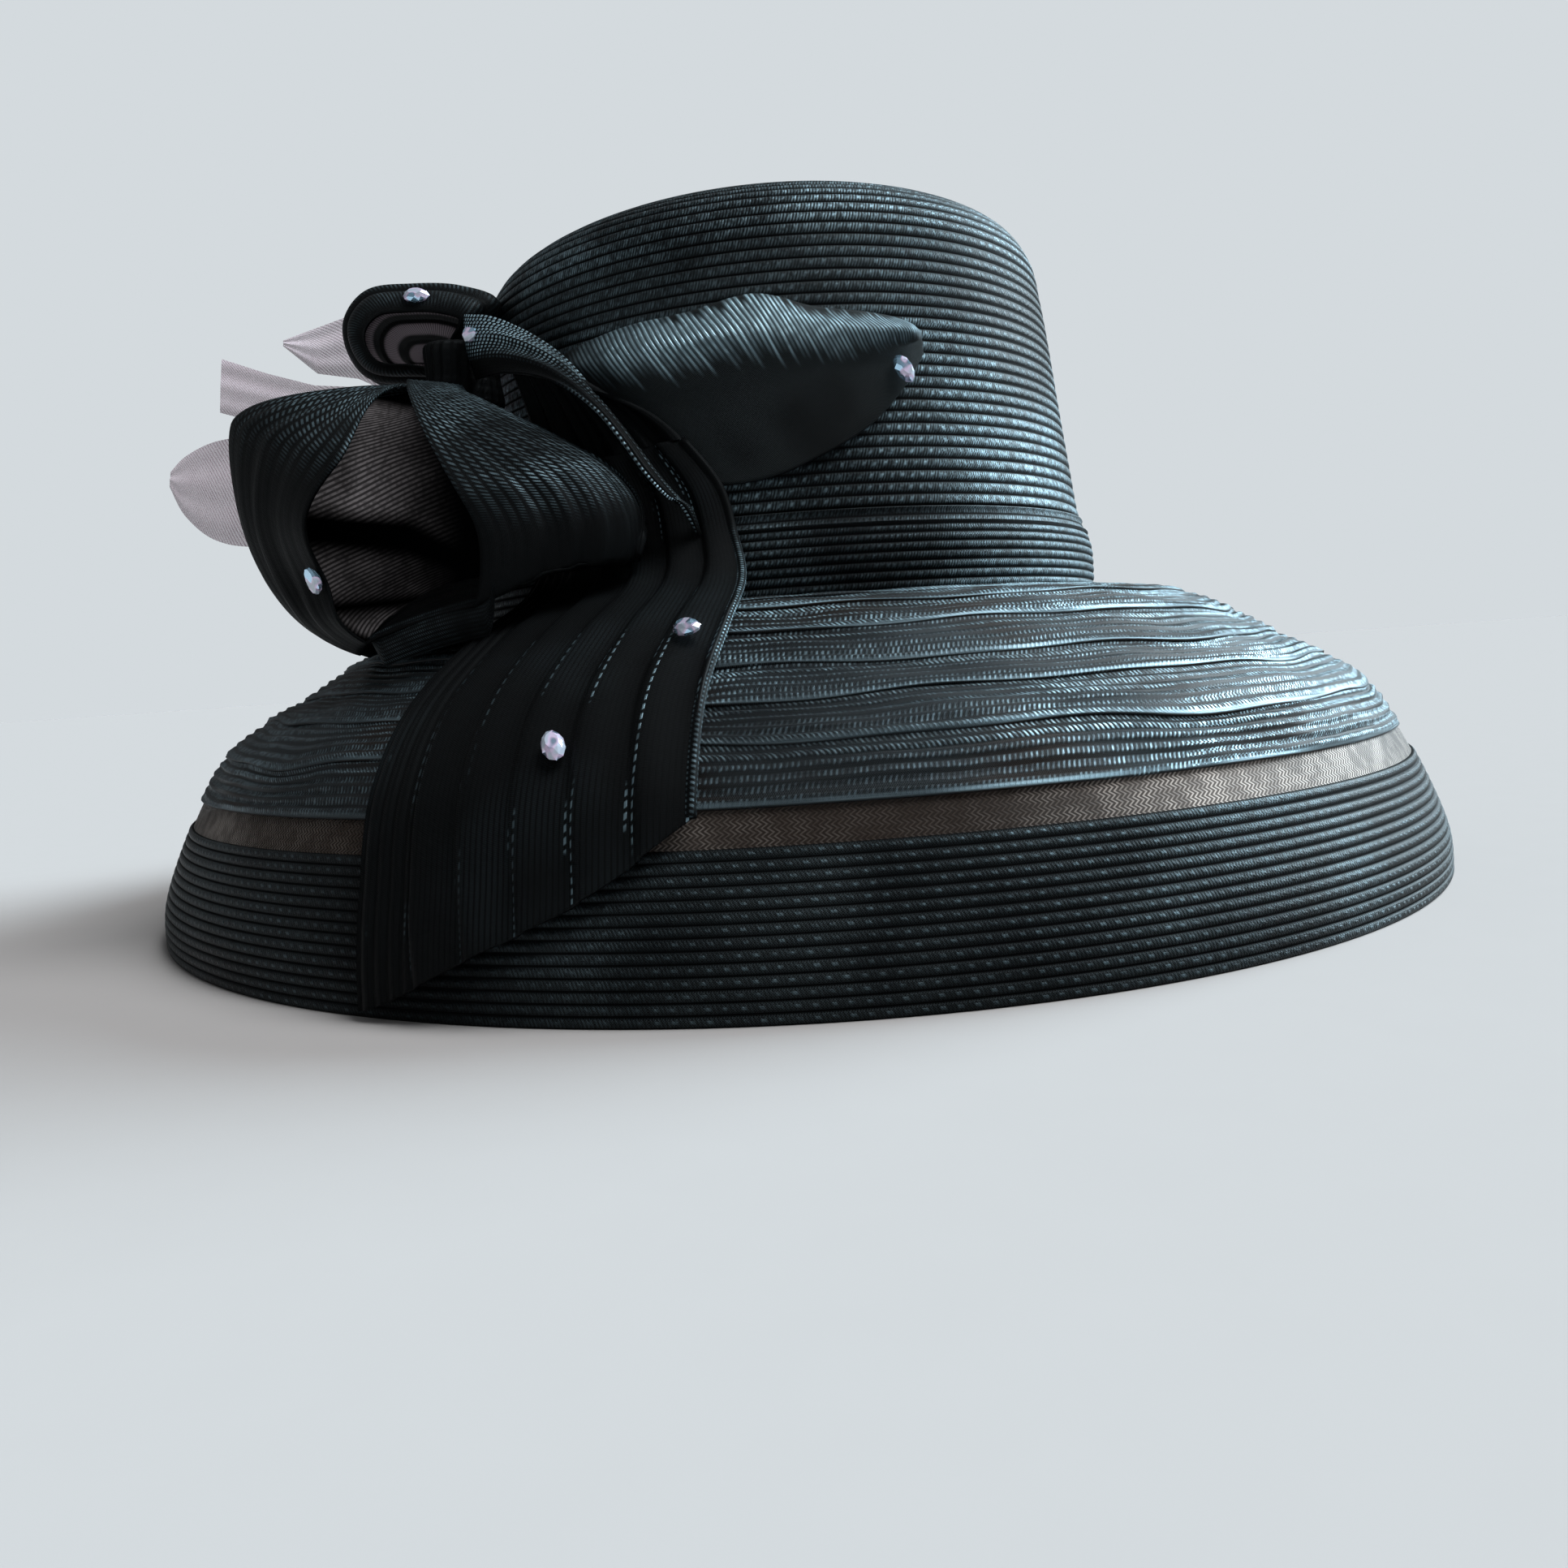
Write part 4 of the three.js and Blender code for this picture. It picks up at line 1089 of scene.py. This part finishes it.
class HAT_OT_leaf(bpy.types.Operator):
    """Build the flat leaf of the bow that lies forward on the crown, its upper edge rolled"""

    bl_idname = "hat.leaf"
    bl_label = "Leaf"

    def execute(self, context):
        def relief(u, v):
            ends = smooth(u / 0.15) * smooth((1 - u) / 0.12)
            roll = 3.4 * math.exp(-(((v - 0.80) / 0.15) ** 2))
            fold = 0.2 * math.sin(2 * math.pi * (5 * v + 3 * u)) * smooth((v - 0.5) / 0.2)
            return (roll + fold) * ends * MM

        bow = BowForm(context)
        cloth_sheet("bow_leaf_cloth", bow.leaf, relief, self.finish(), bow.sizes.cloth)
        return {"FINISHED"}

    @staticmethod
    def finish():
        """A painted highlight: a band of short bright strokes along the rolled edge, fading along the
        leaf, on dark cloth.
        """
        cloth = Shader("leaf_cloth", Specular_IOR_Level=0.06)
        along, across = cloth.cloth_place()
        patch = cloth.blotches(30.0, 0.34, 0.62, 2.0)
        hatch = (along + across * 0.6) / (1.2 * MM)
        feather = across / 0.037 + (row_chance(cloth, hatch) - 0.5) * 0.1 + (patch - 0.5) * 0.1
        lengthwise = along.ramp(0.01, 0.03) * (along.ramp(0.085, 0.05) * 0.55 + 0.45)
        # Painted highlight: the band of strokes along the rolled edge.
        band = feather.ramp(0.66, 0.88) * feather.ramp(1.05, 0.96) * lengthwise
        flecks = cloth.blotches(300.0, 0.36, 0.6) * 0.5 + 0.5
        strokes = off_middle(hatch).ramp(0.38, 0.12) * flecks * 1.5
        bright = (strokes * 0.85 + 0.15) * band * (patch * 0.5 + 0.5)
        net = fine_net(along, across)
        colours = cloth.colours
        body = cloth.colour(net * (patch * 0.7 + 0.3), colours.bow_dark, colours.braid_body)
        cloth.set(
            Base_Color=cloth.colour(bright, body, colours.stitch),
            Metallic=(net * 0.6).at_least((strokes * band).at_most(0.9)),
            Roughness=0.5 - bright * 0.12,
        )
        cloth.bump(strokes * band + net * 0.35, 0.25 * MM, 0.8)
        return cloth.material


class HAT_OT_tail(bpy.types.Operator):
    """Build the pleated tail that falls from the crown over the brim to a slanting cut"""

    bl_idname = "hat.tail"
    bl_label = "Tail"
    width, pleats = 0.066, 6.2

    def execute(self, context):
        bow = BowForm(context)

        def relief(u, v):
            if v > 0.8:
                pleat = 0.3 * math.sin(2 * math.pi * (v - 0.8) / 0.05)
            else:
                place = (v * self.pleats + 0.15 * math.sin(7 * u)) % 1
                pleat = smooth(place / 0.88) * (1 if place < 0.88 else (1 - place) / 0.12)
            return -pleat * MM

        def gathers(u, v):
            return 0.9 * math.sin(36 * v) * MM

        cloth_sheet("bow_tail_cloth", bow.tail, relief, self.finish(), bow.sizes.cloth)
        self.hem(bow)
        dark = bow_finish("tail_gather_cloth")
        cloth_sheet("bow_tail_gather", bow.tail_gather, gathers, dark)
        return {"FINISHED"}

    def finish(self):
        """Ribbed cloth with a broken line of stitches beside the folds of its front side."""
        cloth = Shader("tail_cloth", Specular_IOR_Level=0.06)
        along, across = cloth.cloth_place()
        pleat = across / self.width * self.pleats
        here = (pleat + 0.06).fraction()
        beside = (here - 0.13).size().ramp(0.03, 0.018) * cloth.blotches(45.0, 0.5, 0.56)
        seam = (here - 0.5).size().ramp(0.476, 0.488).at_least(beside)
        run = dashes(along, across, 2.5 * MM, 0.55, 0.0, row_chance(cloth, pleat))
        front = across.ramp(0.036, 0.012) * 0.85 + 0.15
        stitch = seam * run * cloth.blotches(42.0, 0.5, 0.58, 2.0) * front
        ribs = off_middle(across / (1.05 * MM)).ramp(0.45, 0.2)
        net = fine_net(along, across)
        patch = cloth.blotches(34.0, 0.45, 0.7, 2.0)
        colours = cloth.colours
        body = cloth.colour(net * 0.8 + ribs * 0.05, colours.bow_dark, colours.bow_body)
        cloth.set(
            Base_Color=cloth.colour(stitch * 0.5 + ribs * patch * 0.012, body, colours.stitch),
            Metallic=(net * 0.6).at_least(stitch * 0.9),
            Roughness=0.52 - stitch * 0.15,
            Alpha=(net * 0.12 + ribs * 0.03 + 0.85).at_most(1.0),
        )
        cloth.bump(stitch + ribs * 0.05 + net * 0.2, 0.2 * MM, 0.5)
        return cloth.material

    @staticmethod
    def hem(bow):
        """The turned edge of the tail on its front side."""

        def place(u, v):
            turn = 2 * math.pi * v
            base = bow.tail(u, 0.0)
            ahead = bow.tail(min(1, u + 0.01), 0.0) - bow.tail(max(0, u - 0.01), 0.0)
            inward = bow.tail(u, 0.05) - base
            side = ahead.cross(inward).normalized()
            inward = side.cross(ahead).normalized()
            rolled = inward * (1.1 * math.cos(turn) + 0.3) + side * 0.75 * math.sin(turn)
            return base + rolled * MM

        mesh = sheet_mesh(place, (90, 16), 0.11, 0.005)
        close_seams(mesh)
        edges = [edge for edge in mesh.edges if edge.is_boundary]
        bmesh.ops.holes_fill(mesh, edges=edges, sides=0)
        bmesh.ops.recalc_face_normals(mesh, faces=mesh.faces)
        # Painted shade: no glints on the upper part of the hem, under the loops.
        finish = bow_finish("tail_hem_cloth", lambda along, across: along.ramp(0.024, 0.04))
        finish_piece("bow_tail_hem", mesh, finish)


class HAT_OT_loops(bpy.types.Operator):
    """Build the puffed large loop, the ribbed loop behind it and the folded loop in front"""

    bl_idname = "hat.loops"
    bl_label = "Loops"

    def execute(self, context):
        bow = BowForm(context)
        self.large(bow)
        self.back(bow)
        self.front(bow)
        return {"FINISHED"}

    def large(self, bow):
        def pleats(u, v):
            away = mix(0.3, 1, smooth(min(u, 1 - u) / 0.08)) * smooth((1 - v) / 0.16)
            share = (v * 11 + 0.35 * math.sin(5 * u)) % 1
            pleat = 0.9 * smooth(share / 0.8) if share < 0.8 else 4.5 * (1 - share)
            crease = 0.8 * math.sin(2 * math.pi * (2.2 * v + 1.4 * u)) * math.sin(math.pi * u)
            return ((1.0 if u > 0.5 else 0.55) * pleat + crease) * away * MM

        # Painted highlights: glints on the part of the loop that rises from the knot, where light
        # falls, and a painted sheen where it gathers at its other end.
        def lit(along, across):
            rim = along.ramp(0.062, 0.028) * across.ramp(0.078, 0.068)
            return rim + along.ramp(0.215, 0.262) * 0.8

        def folds(u, v):
            fold = math.sin(2 * math.pi * (2.5 * v + 0.3 * math.sin(4 * u)))
            fold += 0.3 * math.sin(19 * v + 5 * u)
            return 0.9 * fold * math.sin(math.pi * v) * math.sin(math.pi * u) * MM

        loop = bow.large_loop()
        finish = bow_finish("large_loop_cloth", lit)
        cloth_sheet("bow_loop_large_cloth", loop, pleats, finish, bow.sizes.cloth)
        closing = bow.closing(loop, 0.36, 0.05, 1.0, outwards(49) * (-9 * MM))
        cloth_sheet("bow_loop_large_inside", closing, folds, self.inside_finish())
        finish = bow_finish("lower_fold_cloth")
        cloth_sheet("bow_loop_lower_fold", bow.lower_fold, None, finish)

    def back(self, bow):
        def ribs(u, v):
            return 1.1 * abs(math.sin(math.pi * 4 * v)) * smooth(min(u, 1 - u) / 0.1) * MM

        def arcs(u, v):
            return 0.8 * abs(math.sin(math.pi * 3 * v)) * MM

        loop = bow.back_loop()
        finish = bow_finish("back_loop_cloth")
        cloth_sheet("bow_loop_back_cloth", loop, ribs, finish, bow.sizes.cloth)
        nested = bow.nested(loop, 0.86, loop(0.97, 0.8).lerp(loop(0.5, 0.8), 0.2))
        cloth_sheet("bow_loop_back_inside", nested, arcs, self.arcs_finish())

    def front(self, bow):
        def pleats(u, v):
            rounds = 0.8 * abs(math.sin(math.pi * 3 * v)) + 1.2 * math.exp(-((v / 0.12) ** 2))
            return rounds * smooth((u - 0.07) / 0.1) * MM

        # Painted highlights: glints along the loop's top and its outer and inner edges, painted three
        # times as strong.
        def lit(along, across):
            top = along.ramp(0.05, 0.022) * across.ramp(0.012, 0.006)
            outer = across.ramp(0.0062, 0.004) * along.ramp(0.092, 0.075)
            inner = across.ramp(0.0118, 0.0135) * along.ramp(0.032, 0.05) * along.ramp(0.093, 0.082)
            return (top + outer + inner) * 3.0

        finish = bow_finish("front_loop_cloth", lit)
        cloth_sheet("bow_loop_front_cloth", bow.front_loop, pleats, finish, bow.sizes.cloth)

    @staticmethod
    def inside_finish():
        """The loop's inner layer: black, with painted light where it is single: greyer, and glowing
        as if lit from behind.
        """
        cloth = Shader(
            "loop_inside_cloth", Roughness=0.6, Specular_IOR_Level=0.02, Emission_Strength=1.0
        )
        along, across = cloth.cloth_place()
        flecks = cloth.blotches(700.0, 0.3, 0.6) * 0.6 + 0.4
        grain = dashes(along, across, GRAIN_PITCH, 0.5, 0.7) * flecks * 0.8 + 0.2
        # Painted light: bands of the single layer, painted greyer in patches.
        slope = along - across * 0.35 - (across - 0.02).size() * 0.3
        bands = sum(
            slope.ramp(low, low + 6 * MM) * slope.ramp(high, high - 5 * MM) * light
            for low, high, light in ((0.006, 0.040, 0.9), (0.044, 0.063, 0.26), (0.063, 0.077, 0.4))
        )
        worn_tone_and_glow = cloth.blotches(52.0, 0.36, 0.62, 2.0) * 0.6 + 0.4
        single = bands * across.ramp(0.030, 0.004) * across.ramp(0.0, 0.003) * worn_tone_and_glow * grain
        colours = cloth.colours
        cloth.set(
            Base_Color=cloth.colour(single * 0.4, colours.bow_dark, colours.tip_thread),
            # Painted light: the single layer glows, standing in for light that comes through it.
            Emission_Color=cloth.colour(single, (0.0, 0.0, 0.0), (0.15, 0.14, 0.145)),
        )
        cloth.bump(grain, 0.15 * MM, 0.5)
        return cloth.material

    @staticmethod
    def arcs_finish():
        """Nested arcs of the loop behind: dark where the cloth doubles, greyer where it is single."""
        cloth = Shader("loop_arcs_cloth", Roughness=0.5, Specular_IOR_Level=0.2)
        along, across = cloth.cloth_place()
        single = (across * (math.pi * 3 / 0.015)).sine().size().ramp(0.5, 0.85)
        grain = dashes(along, across, GRAIN_PITCH, 0.5, 0.5) * 0.6 + 0.4
        colours = cloth.colours
        shade = cloth.colour(single * grain * 0.34, colours.bow_dark, colours.tip_body)
        cloth.set(Base_Color=shade)
        cloth.bump(grain, 0.15 * MM, 0.5)
        return cloth.material


class HAT_OT_knot(bpy.types.Operator):
    """Build the wrapped knot that holds the loops"""

    bl_idname = "hat.knot"
    bl_label = "Knot"

    def execute(self, context):
        bow = BowForm(context)
        widths = (0, 0.62, 0.92, 1, 1, 1, 0.92, 0.62, 0)
        rises = (-1, -0.95, -0.8, -0.4, 0, 0.4, 0.8, 0.95, 1)
        half_width, half_depth, half_height = 7.4 * MM, 10.8 * MM, 9 * MM

        def place(u, v):
            turn = 2 * math.pi * u
            wrap = 0.93 + 0.03 * math.cos(20 * turn + 5 * v) + 0.06 * math.sin(9 * v)
            width = 0 if v in (0, 1) else max(0.0, curve_value(widths, v)) * wrap
            return (
                bow.knot_middle + bow.forward * (math.cos(turn) * width * half_width)
                + bow.out * (math.sin(turn) * width * half_depth)
                + Vector((0, 0, curve_value(rises, v) * half_height))
            )

        mesh = sheet_mesh(place, (168, 30), 0.058, 0.02)
        close_seams(mesh)
        bmesh.ops.recalc_face_normals(mesh, faces=mesh.faces)
        finish_piece("bow_knot_wrap", mesh, bow_finish("knot_cloth"), "bow_knot")
        return {"FINISHED"}


class HAT_OT_tips(bpy.types.Operator):
    """Build the three pale see-through tips that stand out behind the bow"""

    bl_idname = "hat.tips"
    bl_label = "Sheer tips"

    def execute(self, context):
        bow = BowForm(context)
        colours = context.scene.hat_colours
        finish = sheer_finish(
            "tip_cloth", colours.tip_body, colours.tip_thread, 0.72, 60 * MM, 1.3 * MM, 0.9
        )

        def relief(u, v):
            fold = 1.4 * abs(v - 0.62 + 0.3 * u) + 0.2 * math.sin(5 * math.pi * v + 3 * u)
            return fold * smooth(u / 0.2) * MM

        for number, (turn, lean, rows) in enumerate(SHEER_TIPS, 1):
            place = bow.sheer_tip(turn, lean, rows, number < 3)
            cloth_sheet(f"sheer_tip_{number}_cloth", place, relief, finish)
        return {"FINISHED"}


class HAT_OT_stones(bpy.types.Operator):
    """Give the six stones their clear, slightly iridescent finish"""

    bl_idname = "hat.stones"
    bl_label = "Stones"

    def execute(self, context):
        stone = Shader(
            "clear_stone", Roughness=0.04, IOR=1.6, Specular_IOR_Level=0.8, Coat_Weight=0.6,
            Coat_Roughness=0.02,
        )
        fire = stone.noise(420.0, 0.0)
        cool = stone.colour(fire.ramp(0.42, 0.6), (0.85, 0.62, 0.86), (0.5, 0.78, 1.0))
        stone.set(
            Base_Color=stone.colour(fire.ramp(0.3, 0.5), stone.colours.stone, cool),
            Metallic=fire.ramp(0.4, 0.55) * 0.8,
        )
        for number in range(1, 7):
            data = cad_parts[f"stone_{number}"].data
            data.materials.clear()
            data.materials.append(stone.material)
        return {"FINISHED"}


class HAT_OT_stage(bpy.types.Operator):
    """Build the pale floor and backdrop, the soft lights and the camera"""

    bl_idname = "hat.stage"
    bl_label = "Stage"

    def execute(self, context):
        scene = context.scene
        self.backdrop()
        for name, values in SUNS.items():
            self.sun(name, *values)
        self.studio(scene)
        scene.view_settings.view_transform = "Standard"
        self.camera(scene)
        return {"FINISHED"}

    @staticmethod
    def studio(scene):
        """A pale backdrop at full brightness, of which the hat gets a dim, even fill light."""
        world = bpy.data.worlds.new("studio")
        world.use_nodes = True
        studio = Nodes(world.node_tree)
        background = world.node_tree.nodes["Background"]
        seen = studio.node("ShaderNodeLightPath", output="Is Camera Ray")
        background.inputs["Color"].default_value = (*scene.hat_colours.backdrop, 1)
        studio.feed(background.inputs["Strength"], seen * (1 - FILL) + FILL)
        scene.world = world

    @staticmethod
    def backdrop():
        mesh = bmesh.new()
        bmesh.ops.create_circle(mesh, cap_ends=True, radius=60, segments=96)
        paper = Shader("backdrop_paper", Roughness=1.0, Specular_IOR_Level=0.0)
        colour = tuple(paper.colours.floor)
        pale = tuple(min(1.0, value * 1.02) for value in colour)
        paper.set(Base_Color=paper.colour(paper.noise(90.0), colour, pale))
        add_object("backdrop", mesh_data("backdrop", mesh, paper.material))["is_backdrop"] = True

    @staticmethod
    def sun(name, towards, strength, colour):
        data = bpy.data.lights.new(name, "SUN")
        data.energy, data.angle, data.color = strength, math.radians(SUN_SPREAD), colour
        lamp = add_object(name, data)
        lamp.rotation_euler = Vector(towards).to_track_quat("Z", "Y").to_euler()

    @staticmethod
    def camera(scene):
        """The view of the photograph: from low in front, a little to the wearer's right."""
        data = bpy.data.cameras.new("camera")
        data.lens, data.sensor_width, data.clip_start = 27.95, 36, 0.01
        turns = Euler([math.radians(angle) for angle in CAMERA_TURNS])
        camera = add_object("camera", data)
        camera.matrix_world = Matrix.LocRotScale(Vector(CAMERA_PLACE), turns, None)
        scene.camera = camera


PIECES = (
    HAT_OT_crown, HAT_OT_band, HAT_OT_brim, HAT_OT_edge_band, HAT_OT_sheer_strip, HAT_OT_knot,
    HAT_OT_leaf, HAT_OT_tail, HAT_OT_loops, HAT_OT_tips, HAT_OT_stones, HAT_OT_stage,
)


class HAT_PT_panel(bpy.types.Panel):
    """Sizes, colours and pieces of the hat"""

    bl_label = "Crinoline dress hat"
    bl_idname = "HAT_PT_panel"
    bl_space_type = "VIEW_3D"
    bl_region_type = "UI"
    bl_category = "Hat"

    def draw(self, context):
        scene = context.scene
        for group in (scene.hat_sizes, scene.bow_sizes, scene.hat_colours):
            box = self.layout.box()
            for name in group.__annotations__:
                box.prop(group, name)
        for piece in PIECES:
            self.layout.operator(piece.bl_idname)


GROUPS = {"hat_sizes": HatSizes, "bow_sizes": BowSizes, "hat_colours": HatColours}


def register():
    for kind in (*GROUPS.values(), *PIECES, HAT_PT_panel):
        bpy.utils.register_class(kind)
    for name, kind in GROUPS.items():
        setattr(bpy.types.Scene, name, PointerProperty(type=kind))


def unregister():
    for name in GROUPS:
        delattr(bpy.types.Scene, name)
    for kind in (HAT_PT_panel, *reversed(PIECES), *GROUPS.values()):
        bpy.utils.unregister_class(kind)


def main():
    register()
    for piece in PIECES:
        group, name = piece.bl_idname.split(".")
        getattr(getattr(bpy.ops, group), name)()
    boxes = {"cad": CAD_BOX, "visual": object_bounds()}
    boxes = {name: [list(corner) for corner in box] for name, box in boxes.items()}


if __name__ == "__main__":
    main()
